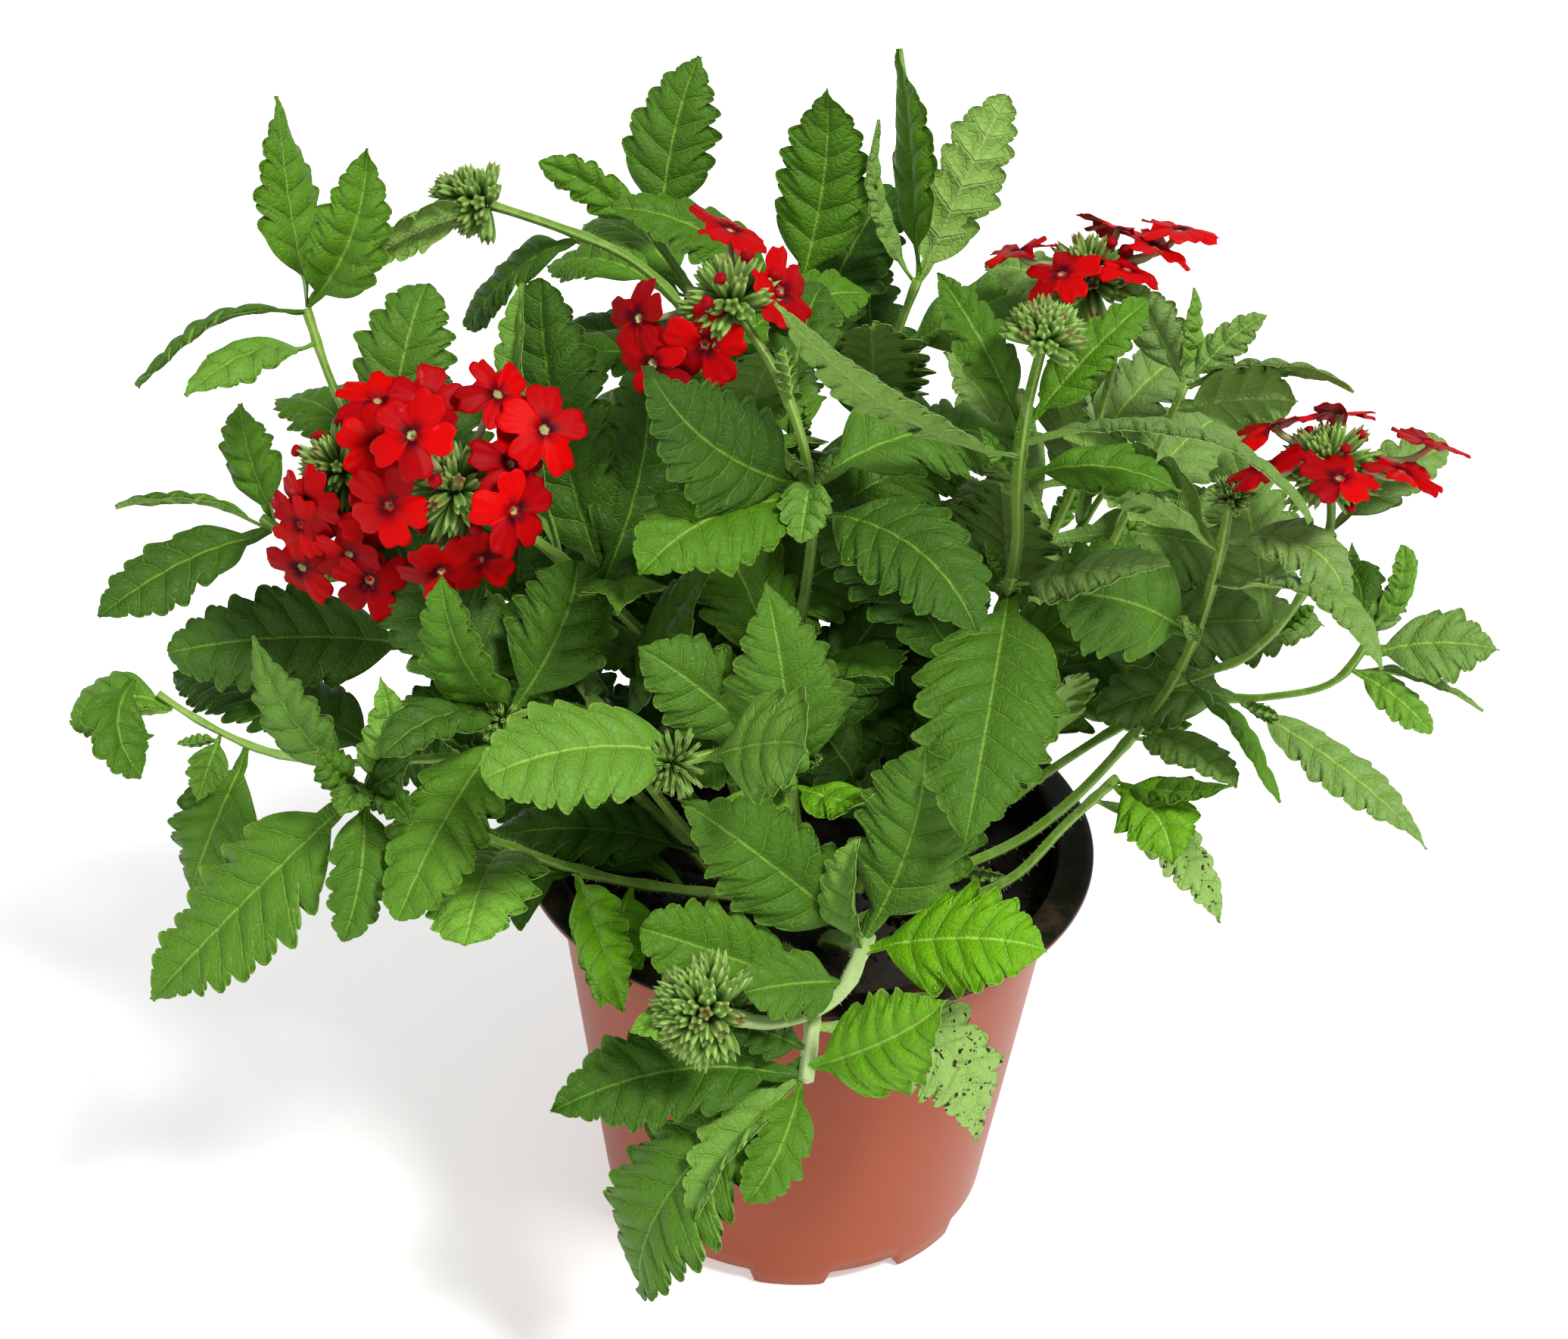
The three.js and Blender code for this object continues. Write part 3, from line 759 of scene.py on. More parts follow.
# Leaves that the frame leaves out, by their names after leaf_, in millimetres: where the stalk leaves its
# stem, the tip, the widest width, how far the middle stands off the straight line, the way the upper side
# faces, and the look.
MORE_LEAVES = {
    "left_top_folded": ((-101, 14, 201), (-88, 8, 240), 16, (3, -3, 0), (0.1, -1, 0.2), "cupped"),
    "left_top_long": ((-102, 15, 201), (-134, 2, 191), 15, (0, 0, 6), (0.2, 0.5, 1), "slate"),
    "left_head": ((-67, 25, 220), (-92, 8, 215), 14, (0, 0, 2), (0.1, 0.8, 0.3), "soft"),
    "left_mid_thin": ((-111, 8, 157), (-142, 12, 157), 10, (0, 0, 4), (0, 0.6, 1), "mid"),
    "left_dark_upright": ((-87, -49, 133), (-106, -44, 164), 13, (-2, -3, 0), (-0.5, -0.8, 0.4), "slate"),
    "left_low_small": ((-87, -49, 131), (-88, -68, 111), 13, (2, -3, 2), (0.2, -0.8, 0.6), "mid"),
    "left_low_young": ((-86, -48, 133), (-81, -52, 161), 12, (3, -2, 0), (0.2, -1, 0.2), "young"),
    "left_low_crinkled_1": ((-87, -49, 133), (-92, -58, 149), 8, (-1, -2, 1), (0.3, -0.8, 0.5), "slate"),
    "left_low_crinkled_2": ((-85, -49, 133), (-76, -58, 147), 9, (1, -2, 1), (-0.3, -0.8, 0.5), "dark"),
    "left_low_crinkled_3": ((-87, -49, 132), (-88, -63, 138), 8, (0, -1, 2), (0, -0.4, 1), "slate"),
    "left_low_crinkled_4": ((-85, -49, 132), (-75, -64, 137), 8, (1, -1, 2), (0, -0.4, 1), "dark"),
    "far_left_curled": ((-126, -20, 131), (-147, -22, 128), 16, (0, 0, 4), (-0.2, -0.4, 1), "soft"),
    "far_left_end": ((-134, -20, 137), (-130, -38, 126), 15, (-3, -4, 3), (0.6, -0.2, 1), "mid"),
    "far_left_tiny": ((-118, -21, 126), (-121, -32, 116), 8, (0, -2, 1), (0, -1, 0.4), "soft"),
    "left_centre_side": ((-59, -42, 146), (-80, -62, 151), 15, (0, 0, 5), (0.2, 0.3, 1), "slate"),
    "left_centre_spotted": ((-60, -34, 110), (-64, -77, 119), 24, (0, -2, 6), (-0.1, -0.5, 1), "bright"),
    "left_centre_folded": ((-58, -41, 146), (-70, -48, 181), 16, (-2, -4, 0), (-0.4, -0.9, 0.3), "cupped"),
    "left_centre_dark": ((-57, -39, 146), (-84, -14, 170), 25, (-3, 0, 3), (-0.2, -0.7, 0.6), "slate"),
    "left_centre_inner": ((-57, -40, 146), (-46, -26, 172), 22, (3, 0, 2), (0.2, -0.9, 0.3), "dark"),
    "back_left_side": ((-9, 41, 194), (-44, 40, 214), 15, (0, 0, 5), (0, -0.6, 1), "mid"),
    "back_left_end": ((-37, 49, 204), (-59, 48, 219), 10, (0, 0, 2), (0, -1, 0.4), "mid"),
    "back_centre": ((17, 46, 196), (12, 58, 242), 16, (1, 0, 0), (-0.8, -0.6, 0.1), "mid"),
    "back_twisted": ((17, 46, 196), (9, 46, 232), 8, (-4, 0, 0), (1, -0.4, 0), "grey"),
    "head_a_behind": ((-42, -16, 157), (-56, 12, 212), 25, (-4, 4, 2), (-0.2, -0.9, 0.4), "dark"),
    "head_a_strip": ((-50, -21, 170), (-60, 10, 212), 12, (-3, 2, 0), (-0.8, -0.5, 0.3), "folded"),
    "head_a_right": ((-44, -17, 160), (-36, 10, 196), 22, (4, 4, 2), (0.3, -0.9, 0.4), "dark"),
    "head_a_hanging": ((-44, -17, 160), (-37, -52, 178), 17, (3, -3, 6), (0.1, -0.4, 1), "mid"),
    "dome_upper_left": ((37, -13, 199), (20, 2, 222), 12, (0, -2, 3), (0.3, -0.6, 0.8), "mid"),
    "dome_upper_right": ((38, -13, 199), (60, 0, 219), 12, (0, -2, 3), (-0.3, -0.6, 0.8), "mid"),
    "dome_side": ((38, -11, 160), (65, -32, 181), 17, (0, -2, 2), (-0.5, 0.1, 1), "grey"),
    "dome_low_left": ((36, -8, 159), (12, -12, 176), 16, (-2, -2, 2), (0.3, -0.8, 0.6), "dark"),
    "dome_sprig": ((38, -12, 186), (68, -18, 188), 13, (0, 0, 4), (0, -0.4, 1), "mid"),
    "centre_back": ((-1, -21, 188), (37, 4, 185), 24, (0, 0, 6), (0, -0.5, 1), "slate"),
    "centre_left": ((-3, -22, 187), (-33, -53, 187), 23, (-2, -3, 6), (0, -0.6, 1), "mid"),
    "centre_tiny": ((-2, -23, 188), (-4, -40, 187), 10, (0, -2, 3), (0, -0.5, 1), "young"),
    "right_high_left": ((70, 18, 190), (59, 24, 210), 12, (0, 0, 0), (-0.5, -0.7, 0.4), "grey"),
    "right_high_top": ((71, 18, 191), (72, 24, 209), 7, (0, 0, 0), (0.8, -0.6, 0), "young"),
    "right_high_up": ((71, 18, 191), (86, 22, 205), 8, (0, 0, 2), (0, -0.7, 0.6), "grey"),
    "right_high_long": ((71, 18, 190), (102, 4, 199), 11, (0, 0, 5), (0, 0.6, 0.8), "grey"),
    "right_high_pale": ((70, 17, 187), (92, 8, 194), 18, (1, -1, 2), (0.1, 0.9, 0.1), "grey"),
    "head_e_side": ((98, -12, 176), (122, 6, 186), 13, (0, 0, 3), (0, -0.7, 0.7), "grey"),
    "right_inner_dark": ((75, -8, 148), (46, -22, 166), 25, (0, -3, 5), (-0.1, -0.8, 0.6), "slate"),
    "right_top_pale": ((77, -13, 173), (47, 4, 186), 19, (0, 0, 3), (0, 0.9, 0.2), "grey"),
    "right_top_thin": ((77, -13, 172), (41, -14, 186), 12, (0, 0, 5), (0, 0.7, 0.8), "grey"),
    "right_fork": ((78, -13, 174), (100, -32, 173), 16, (3, -2, 7), (0.1, -0.3, 1), "grey"),
    "right_fork_end": ((97, -11, 168), (103, -30, 170), 12, (2, -1, 4), (0.3, -0.4, 1), "dark"),
    "far_right_up": ((112, 0, 145), (105, 2, 165), 6, (0, 0, 0), (-0.5, -0.8, 0.2), "young"),
    "far_right_spray": ((112, 0, 145), (116, 4, 164), 8, (2, 0, 0), (0.5, -0.8, 0.4), "young"),
    "far_right_tiny": ((112, 0, 144), (118, 6, 153), 8, (0, 0, 2), (0, -0.8, 0.6), "grey"),
    "far_right_low": ((108, 0, 137), (124, -12, 130), 9, (1, -2, 2), (0, -0.6, 0.8), "soft"),
    "far_right_thin": ((109, 0, 138), (137, 2, 127), 7, (0, 0, 3), (0, 0.4, 1), "grey"),
    "right_fork_low": ((73, -5, 138), (93, -30, 125), 13, (1, -2, 3), (1, -0.1, 0.7), "mid"),
    "right_low_edge": ((66, -1, 119), (84, -27, 126), 13, (0, 0, 4), (0, 0.2, 1), "grey"),
    "right_stalk_back": ((87, 3, 127), (58, 2, 122), 16, (0, 0, 4), (0, -0.6, 0.8), "grey"),
    "right_low_light": ((62, -12, 115), (72, -36, 113), 18, (2, -2, 4), (-0.1, -0.7, 0.8), "bright"),
    "right_low_narrow": ((63, -12, 117), (82, -30, 129), 9, (1, -3, 0), (0, -0.3, 1), "mid"),
    "low_centre_upright": ((-5, -36, 131), (-10, -47, 182), 25, (2, -8, 0), (0.1, -1, 0.4), "mid"),
    "tuft_left": ((-22, -59, 150), (-60, -75, 156), 24, (0, -2, 6), (0, -0.6, 1), "soft"),
    "tuft_right": ((-20, -57, 150), (-2, -78, 167), 23, (4, -2, 4), (-0.3, -0.6, 0.8), "soft"),
    "low_back_left": ((-9, -46, 144), (-33, -52, 170), 20, (0, -2, 3), (0.1, -0.9, 0.5), "mid"),
    "low_centre_small": ((-4, -40, 132), (-3, -54, 150), 9, (0, -3, 0), (0.6, -0.7, 0.3), "young"),
    "low_pair_left": ((-4, -41, 130), (-14, -64, 136), 14, (-3, -4, 0), (0, -0.1, 1), "bright"),
    "low_pair_right": ((-3, -39, 130), (14, -52, 141), 14, (3, -4, -1), (0, -0.1, 1), "bright"),
    "front_upright": ((11, -60, 109), (21, -53, 151), 24, (3, 2, 0), (0, -1, 0.2), "mid"),
    "front_back": ((9, -44, 98), (30, -38, 146), 22, (3, -2, 0), (-0.2, -1, 0.3), "mid"),
    "front_dark": ((10, -59, 108), (-25, -63, 144), 23, (-3, -3, 6), (0.1, -0.9, 0.6), "dark"),
    "front_narrow": ((11, -62, 110), (8, -63, 136), 12, (-1, -2, 0), (-0.7, -0.7, 0.2), "folded"),
    "front_low_left": ((8, -69, 106), (-11, -87, 118), 15, (-1, -3, 3), (0, -0.7, 0.8), "mid"),
    "front_bract": ((-13, -85, 110), (-32, -92, 112), 9, (0, -1, 2), (0, -0.6, 0.8), "young"),
    "front_low_right": ((2, -79, 94), (25, -95, 124), 21, (3, -4, 3), (-0.3, -0.9, 0.6), "bright"),
    "front_low_old": ((2, -72, 98), (35, -74, 72), 20, (9, 0, 8), (0.5, -0.9, 0.5), "old"),
    "front_low_pale": ((1, -80, 92), (-20, -98, 70), 13, (-3, -3, 2), (-0.9, -0.6, 0.5), "folded"),
    "front_low_curled": ((1, -81, 92), (-9, -99, 77), 13, (1, -4, 2), (0.2, -0.8, 0.6), "mid"),
    "front_low_small": ((2, -76, 95), (-15, -82, 106), 10, (0, -1, 2), (0, -0.7, 0.8), "dark"),
    "low_left_hanging": ((-35, -39, 104), (-35, -60, 90), 14, (1, -4, 2), (-0.2, -1, 0.4), "bright"),
    "front_under": ((-8, -60, 115), (-31, -73, 121), 20, (0, -3, 3), (0, -0.8, 0.7), "mid"),
    "low_left_inner": ((-46, -27, 99), (-70, -40, 100), 22, (-2, -2, 4), (-0.2, -0.7, 0.8), "dark"),
    "low_left_down": ((-36, -21, 92), (-40, -52, 84), 16, (0, -3, 4), (-0.2, -0.7, 0.8), "bright"),
}


# ---- Leaf material ----


def gap_to_line(count):
    """How far a vein count is from the nearest whole number, where a vein lies."""
    return maths("ABSOLUTE", maths("SUBTRACT", maths("FRACT", maths("ADD", count, 0.5)), 0.5))


def lateral_veins(place, count, across):
    """Veins at whole counts that fade and fork toward the margin, and strips of painted shade beside them,
    where the leaf creases along each vein.
    """
    shifted = maths("ADD", count, times(maths("SUBTRACT", noise(place, 260.0), 0.5), 0.2))
    gap, off_base = gap_to_line(shifted), fade(count, 0.2, 0.8)
    straight = times(times(fade(gap, 0.05, 0.008), off_base), fade(across, 1.08, 0.5))
    fork_gap = gap_to_line(maths("ADD", shifted, fade(across, 0.45, 1.25)))
    fork = times(fade(fork_gap, 0.045, 0.005), times(fade(across, 0.45, 0.55), fade(count, 0.6, 1.0)))
    return maths("MAXIMUM", straight, times(fork, 0.7)), times(fade(gap, 0.13, 0.04), off_base)


def leaf_material():
    material, shader = new_material("leaf", Roughness=0.48, Specular_IOR_Level=0.15)
    tree = shader.id_data
    place, light, yellow, under, spots = surface_of(shader)
    veins = node(tree, "ShaderNodeUVMap", uv_map="veins")[0]
    count, side, _ = node(tree, "ShaderNodeSeparateXYZ", {0: veins})
    across = maths("ABSOLUTE", side)
    lateral, beside = lateral_veins(place, count, across)
    midrib = fade(across, 0.055, 0.018)
    margin = times(fade(across, 0.94, 0.995), fade(count, 0.0, 0.6))
    lines = maths("MAXIMUM", times(lateral, 0.55), times(midrib, 0.95))
    lines = maths("MAXIMUM", lines, times(margin, 0.5))
    cells = node(tree, "ShaderNodeTexVoronoi", {"Vector": place, "Scale": 620.0}, feature="DISTANCE_TO_EDGE")
    network = fade(cells[0], 0.14, 0.0)
    specks = fade(noise(place, 680.0, 2.0, 0.6), 0.6, 0.64)
    blots = fade(noise(place, 190.0, 2.0, 0.6), 0.68, 0.72)

    dark = mix(yellow, (0.022, 0.062, 0.013), (0.026, 0.084, 0.003))
    pale = mix(yellow, (0.19, 0.31, 0.085), (0.12, 0.34, 0.002))
    lifted = mix(light, (0.040, 0.108, 0.007), mix(yellow, (0.23, 0.38, 0.10), (0.14, 0.37, 0.004)))
    vein = mix(light, (0.12, 0.25, 0.022), (0.34, 0.58, 0.075))
    below = mix(light, (0.12, 0.235, 0.035), (0.24, 0.41, 0.08))
    colour = layered(
        mix(light, dark, pale),
        (fade(noise(place, 70.0, 4.0, 0.6), 0.35, 0.8), 1.0, lifted),
        # Painted shade in the creases beside the lateral veins.
        (beside, 0.22, dark),
        (network, 0.12, vein),
        (lines, 1.0, vein),
        (under, 1.0, layered(below, (lines, 0.5, (0.38, 0.50, 0.20)))),
        (spots, 0.7, (0.26, 0.42, 0.10)),
        (maths("MAXIMUM", specks, blots), spots, (0.02, 0.014, 0.006)),
    )
    relief = maths("ADD", times(network, -0.35), times(lateral, -0.9))
    relief = maths("ADD", relief, times(noise(place, 900.0), 0.3))
    finish_surface(shader, colour, relief, 0.7, 0.0005)
    return material


# ---- Flower heads ----

LOBES = 5
LOBE_COLUMNS = 15
LOBE_NOTCH = 0.12
LOBE_CENTRE = 0.62
FLOWER_RADIUS = 8.7 * MM
THROAT_RADIUS = 0.62 * MM
TUBE_RADIUS = 0.75 * MM
PETAL_THICKNESS = 0.14 * MM
BOSS_RADIUS = 5.3 * MM
BOSS_BUDS = 34
BOSS_LEAN = math.radians(112)
OPENING_SHARE = 0.22
CALYX_RIBS = 5

# Rings of a calyx and of a petal bud from base to tip: (share of the length, share of the radius).
CALYX_RINGS = ((0, 0.45), (0.2, 0.75), (0.45, 1.0), (0.7, 1.15), (0.86, 1.08), (0.95, 0.82))
BUD_RINGS = ((0, 0.45), (0.2, 0.55), (0.4, 0.85), (0.6, 1.0), (0.78, 0.9), (0.92, 0.55))

# The stem of each head, the way that its flowers turn, and the eye of each open flower from the middle
# of the head, in millimetres.
HEADS = {
    "flower_head_left": (
        "stem_head_a",
        (0.2, -0.85, 0.6),
        [
            (14, -1, 5), (15, -8, -1), (8, -4, -15), (1, -7, -16), (11, 6, 16),
            (20, 2, 11), (-2, 4, 15), (-4, -7, 14), (-9, -5, -3),
        ],
    ),
    "flower_head_far_left": (
        "stem_head_b",
        (-0.25, -0.75, 0.55),
        [
            (9, 4, 12), (10, -5, 7), (-5, -8, -10), (4, -10, -15),
            (10, -8, -7), (8, -11, -20), (-6, -6, -21), (-4, -8, -5),
        ],
    ),
    "flower_head_top": (
        "stem_head_c",
        (0.0, -0.5, 0.7),
        [(-2, -9, -8), (12, -1, 0), (-15, -3, -6), (-12, -8, -13), (2, 12, 6)],
    ),
    "flower_head_back_right": (
        "stem_head_d",
        (0.0, 0.6, 2.4),
        [(-13, 2, 1), (-5, -9, 2), (8, -8, 3), (14, 0, 4), (19, 6, 5), (7, 8, 4)],
    ),
    "flower_head_right": (
        "stem_head_e",
        (0.0, 0.5, 2.2),
        [(1, -11, 1), (-13, -5, -1), (-10, 5, 3), (14, -4, -1), (20, 3, 1), (3, 10, 3)],
    ),
}

# Heads of unopened buds: the stem that carries each; its radius and height in millimetres; how many buds it
# has, how thick each is and how far from the axis they lean out, in degrees.
BUD_HEADS = {
    "bud_head_top_left": ("stem_bud_top_left", 7.6, 13, 36, 1.2, 115),
    "bud_head_dome": ("stem_bud_dome", 9.2, 6, 32, 1.35, 86),
    "bud_tip_right": ("stem_right_mid", 5.5, 6, 24, 0.7, 90),
    "bud_tuft_left": ("stem_left_centre", 5.2, 6, 30, 0.5, 100),
    "bud_tuft_centre": ("stem_centre_low", 6.6, 8, 100, 0.36, 128),
    "bud_head_front": ("stem_front", 11.2, 9, 54, 1.4, 108),
}


def basis(direction):
    """Two directions that are square to a direction and to each other."""
    side = unit(np.cross(direction, (0.31, 0.17, 0.93)))
    return side, np.cross(direction, side)


def lobe_outline(local):
    """How far a lobe reaches across its width: a disc off the flower's middle, notched at its outer end."""
    angle = local * math.pi / LOBES
    spare = np.clip((1 - LOBE_CENTRE) ** 2 - (LOBE_CENTRE * np.sin(angle)) ** 2, 0, None)
    disc = LOBE_CENTRE * np.cos(angle) + np.sqrt(spare)
    return disc * (1 - LOBE_NOTCH * np.exp(-((local / 0.22) ** 2))) * (1 - 0.24 * np.abs(local) ** 9)


def corolla(parts, mouth, outward, eye, facing, rng):
    """One open flower: a thin tube from the mouth of its calyx to its eye, and five spreading lobes.

    Its tone: how far out on a lobe, 1 at the eye, 1 at the foot of the tube, 1 underneath.
    """
    gap = np.linalg.norm(eye - mouth)
    middle = (mouth + outward * gap * 0.45 + eye - facing * gap * 0.4) / 2
    strand = Strand([mouth, middle, eye - facing * 1.5 * MM, eye], basis(facing)[0], 25)

    steps = np.arange(LOBES * LOBE_COLUMNS)
    lobe = steps // LOBE_COLUMNS
    local = ((steps % LOBE_COLUMNS) + 0.5) / LOBE_COLUMNS * 2 - 1
    angles = (lobe + 0.5 + local / 2) * 2 * math.pi / LOBES + rng.uniform(0, 6.3)
    spread = FLOWER_RADIUS * rng.uniform(0.9, 1.05)
    lengths = draws(rng, 0.93, 1.07, LOBES)[lobe]
    bends = draws(rng, -0.42, 0.14, LOBES)[lobe]
    cups = draws(rng, -0.8, 1.9, LOBES)[lobe] * MM
    tilts = rng.choice((-1, 1)) * draws(rng, 0.5, 1.1, LOBES)[lobe] * MM
    # Painted light and shade: each lobe is made darker or lighter at random, standing in for lobes lit
    # differently as they face the light.
    painted_lobe_shade = draws(rng, -0.5, 0.2, LOBES)[lobe]
    outline = spread * lengths * lobe_outline(local)
    turn = ring_at(angles, strand.sides[-1], strand.normals[-1])

    def limb(share, drop):
        radius = THROAT_RADIUS + (outline - THROAT_RADIUS) * share
        part = radius / spread
        lift = bends * part**2 * spread + cups * (0.5 - local**2) * part + tilts * local * part**1.5
        lift = lift + 0.3 * MM * np.sin(angles * 17 + bends * 40) * part**3
        lift = lift - 0.9 * MM * np.exp(-(radius - THROAT_RADIUS) / (0.9 * MM)) - drop * PETAL_THICKNESS
        return eye + radius[:, None] * turn + lift[:, None] * facing

    rows, tones = [eye - 2.2 * MM * facing + 0.55 * MM * turn], [(0.4, 1, 0, 0)]
    for share in np.linspace(0, 1, 10) ** 0.85:
        rows.append(limb(share, 0))
        tones.append((smooth(share * 2.2), 1 - smooth(share * 14), 0, 0))
    for share in (1, 0.8, 0.55, 0.3, 0.08):
        rows.append(limb(share, 1))
        tones.append((1, 0, 0, 1))
    for fraction in np.linspace(0.93, 0, 8):
        place, _, side, normal = strand.at(fraction)
        radius = TUBE_RADIUS + (THROAT_RADIUS * 1.1 - TUBE_RADIUS) * fraction**3
        rows.append(place + radius * ring_at(angles, side, normal))
        tones.append((1, 0, 1 - 0.5 * fraction, 1))
    colours = np.repeat(np.array(tones, float), len(steps), axis=0)
    colours[:, 0] = np.clip(colours[:, 0] * 0.88 + np.tile(painted_lobe_shade, len(rows)), 0, 1)
    colours = np.vstack([colours, (0.4, 1, 0, 0), (1, 0, 1, 1)])
    parts.add_rings(rows, eye - 2.4 * MM * facing, mouth - outward * 0.1 * MM, colours)


def calyx(parts, start, direction, length, radius, tint, rng):
    """A ribbed green cup with five teeth, closed by a hollow in its mouth. tint reddens its tip.

    Its tone: 1 on a rib, how far along, how red.
    """
    angles = circle(4 * CALYX_RIBS) + rng.uniform(0, 6.3)
    ribs = np.cos(CALYX_RIBS * (angles - angles[0]))
    side, normal = basis(direction)
    turn = ring_at(angles, side, normal)
    lean = direction + 0.12 * (rng.uniform(-1, 1) * side + rng.uniform(-1, 1) * normal)
    rows, tones = [], []
    for f, r in CALYX_RINGS:
        reach = r * radius * (1 + 0.16 * ribs)
        rise = f * length + (0.09 * length * ribs if f > 0.9 else 0 * ribs)
        rows.append(start + reach[:, None] * turn + rise[:, None] * lean)
        reddening = tint * smooth((f - 0.7) / 0.25)
        tones += [(0.5 + 0.5 * rib, f, rng.random() * 0.04 + reddening, 0) for rib in ribs]
    reach = 0.4 * radius * (1 + 0.1 * ribs)
    rows.append(start + reach[:, None] * turn + 0.86 * length * lean)
    tones += [(0.2, 0.6, tint, 0)] * len(angles) + [(0, 0, 0, 0), (0, 0.5, tint, 0)]
    parts.add_rings(rows, start, start + lean * 0.8 * length, tones)


def petal_bud(parts, start, direction, size, rng):
    """A petal tube about to open: a small ball of folded lobes at the mouth of a calyx."""
    angles = circle(3 * LOBES) + rng.uniform(0, 6.3)
    folds = np.cos(LOBES * (angles - angles[0]))
    side, normal = basis(direction)
    rows, tones = [], []
    for f, r in BUD_RINGS:
        reach = r * size * (1 + 0.17 * f * folds)
        turn = ring_at(angles + 0.9 * f, side, normal)
        rows.append(start + reach[:, None] * turn + f * 2.3 * size * direction)
        tones += [(0.25 + 0.3 * f, 0, 0, 0.5)] * len(angles)
    tones += [(0.3, 0, 0, 0.5), (0.2, 0, 0, 0.5)]
    parts.add_rings(rows, start, start + 2.2 * size * direction, tones)


def dome_directions(axis, count, widest):
    """Directions spread evenly over a dome about an axis, out to its widest angle, with their angles."""
    side, normal = basis(axis)
    found = []
    for k in range(count):
        tilt = math.acos(1 - (1 - math.cos(widest)) * (k + 0.5) / count)
        around = outward_at(k * math.pi * (3 - math.sqrt(5)), side, normal)
        found.append((math.cos(tilt) * axis + math.sin(tilt) * around, tilt))
    return found


def stem_end(name):
    return STEMS[name].points[-1], STEMS[name].tangents[-1]


def head_centre(name):
    tip, axis = stem_end(HEADS[name][0])
    return tip + axis * BOSS_RADIUS


def build_head(name, calyx_material, petal_material):
    rng = random.Random(name)
    stem, aim, eyes = HEADS[name]
    tip, axis = stem_end(stem)
    green, red = Parts(), Parts()
    for direction, tilt in dome_directions(axis, BOSS_BUDS, BOSS_LEAN):
        share = tilt / BOSS_LEAN
        start = tip + direction * 0.8 * MM + axis * (1 - share) * 2.5 * MM
        length = (6.6 + 1.8 * smooth(share * 1.4) + rng.uniform(-0.8, 1.3)) * MM
        calyx(green, start, direction, length, (0.9 + 0.5 * share) * MM, 0.8 * rng.random() ** 3, rng)
        if share > 0.3 and rng.random() < OPENING_SHARE:
            mouth = start + direction * length * 0.82
            petal_bud(red, mouth, direction, rng.uniform(0.9, 1.5) * MM, rng)
    for eye in eyes:
        offset = np.array(eye, float) * MM
        outward = unit(offset + axis * 2 * MM)
        mouth = tip + axis * 2 * MM + outward * 6.5 * MM
        calyx(green, tip + outward * 0.8 * MM, outward, 8.2 * MM, 1.25 * MM, 0.2, rng)
        facing = unit(unit(offset) + np.array(aim) + draws(rng, -0.2, 0.2, 3))
        corolla(red, mouth, outward, head_centre(name) + offset, facing, rng)
    own(green.mesh(name + "_calyces", calyx_material), "bud", name)
    own(red.mesh(name + "_corollas", petal_material), "petal", name)


def build_bud_head(name, material):
    rng = random.Random(name)
    stem, radius, height, count, thickness, lean = BUD_HEADS[name]
    tip, axis = stem_end(stem)
    green = Parts()
    widest = math.radians(lean)
    for direction, tilt in dome_directions(axis, count, widest):
        share = 1 - tilt / widest
        start = tip + (axis * (0.02 + 0.5 * share) * height + direction * 0.12 * radius) * MM
        length = (radius * (0.88 - 0.3 * share) + rng.uniform(-0.7, 0.7)) * MM
        upward = unit(direction + 0.25 * axis)
        width = thickness * (1 - 0.25 * share) * rng.uniform(0.85, 1.15) * MM
        calyx(green, start, upward, length, width, 0.6 * rng.random() ** 4, rng)
    own(green.mesh(name + "_buds", material), "bud", name)


# ---- Leaves that fill the plant ----

FILL_SEED = 11
FILL_NODE_STEP = 21 * MM
FILL_FIRST_NODE = 14 * MM
FILL_LAST_NODE = 0.93
FILL_TRIES = 14
FILL_CLEARANCE = 3.2 * MM
FILL_LOW = np.array([-135, -60, 88]) * MM
FILL_HIGH = np.array([130, 80, 219]) * MM
NODE_ROOM = 8 * MM
EYE_ROOM = 11 * MM
LEAF_ROOM = 7 * MM
LEAF_SHARE_HIDDEN = 0.2
FRONT = np.array([0, -math.cos(CAMERA_PITCH), math.sin(CAMERA_PITCH)])
FRONT_LOW = np.array([-22, 125]) * MM
OPEN_CORNER = np.array([52, 99]) * MM


def leaf_samples(strand, width):
    """Points along the middle and near the two edges of a leaf."""
    fractions = np.linspace(0.3, 0.97, 6)
    places, _, sides, _ = strand.at(fractions)
    edge = sides * width * 0.36 * np.sin(math.pi * fractions)[:, None]
    return np.vstack([places, places + edge, places - edge])


def distances(points, others):
    """The distance of each point from each of the others."""
    squares = (points**2).sum(1)[:, None] + (others**2).sum(1)[None] - 2 * points @ others.T
    return np.sqrt(np.clip(squares, 0, None))


def fill_candidate(stem, fraction, turn, rng):
    """A leaf that grows out of a stem at a fraction of its length, about as far around it as turn says."""
    centre, tangent, side, normal = STEMS[stem].at(fraction)
    outward = outward_at(turn + rng.uniform(-0.5, 0.5), side, normal)
    length = rng.uniform(40, 58) * (1 - 0.3 * smooth((centre[2] - 0.15) / 0.07)) * MM
    heading = unit(outward + tangent * rng.uniform(0.1, 0.9) + UP * rng.uniform(-0.3, 0.5))
    start = under_skin(stem, fraction, centre, outward)
    tip = start + heading * length + UP * rng.uniform(-6, 2) * MM
    bow = UP * rng.uniform(3, 7) * MM
    face = unit(UP - heading * heading[2] + np.array([0, -0.25, 0]) + outward * 0.15)
    return Strand(bowed_points(start, tip, bow), face), length * rng.uniform(0.42, 0.5)


def from_front(points):
    """Points as seen from the front: how far each is to the right and up, and how near it is."""
    flat = np.stack([points[:, 0], points @ np.cross(FRONT, (1.0, 0, 0))], 1)
    return flat, points @ FRONT


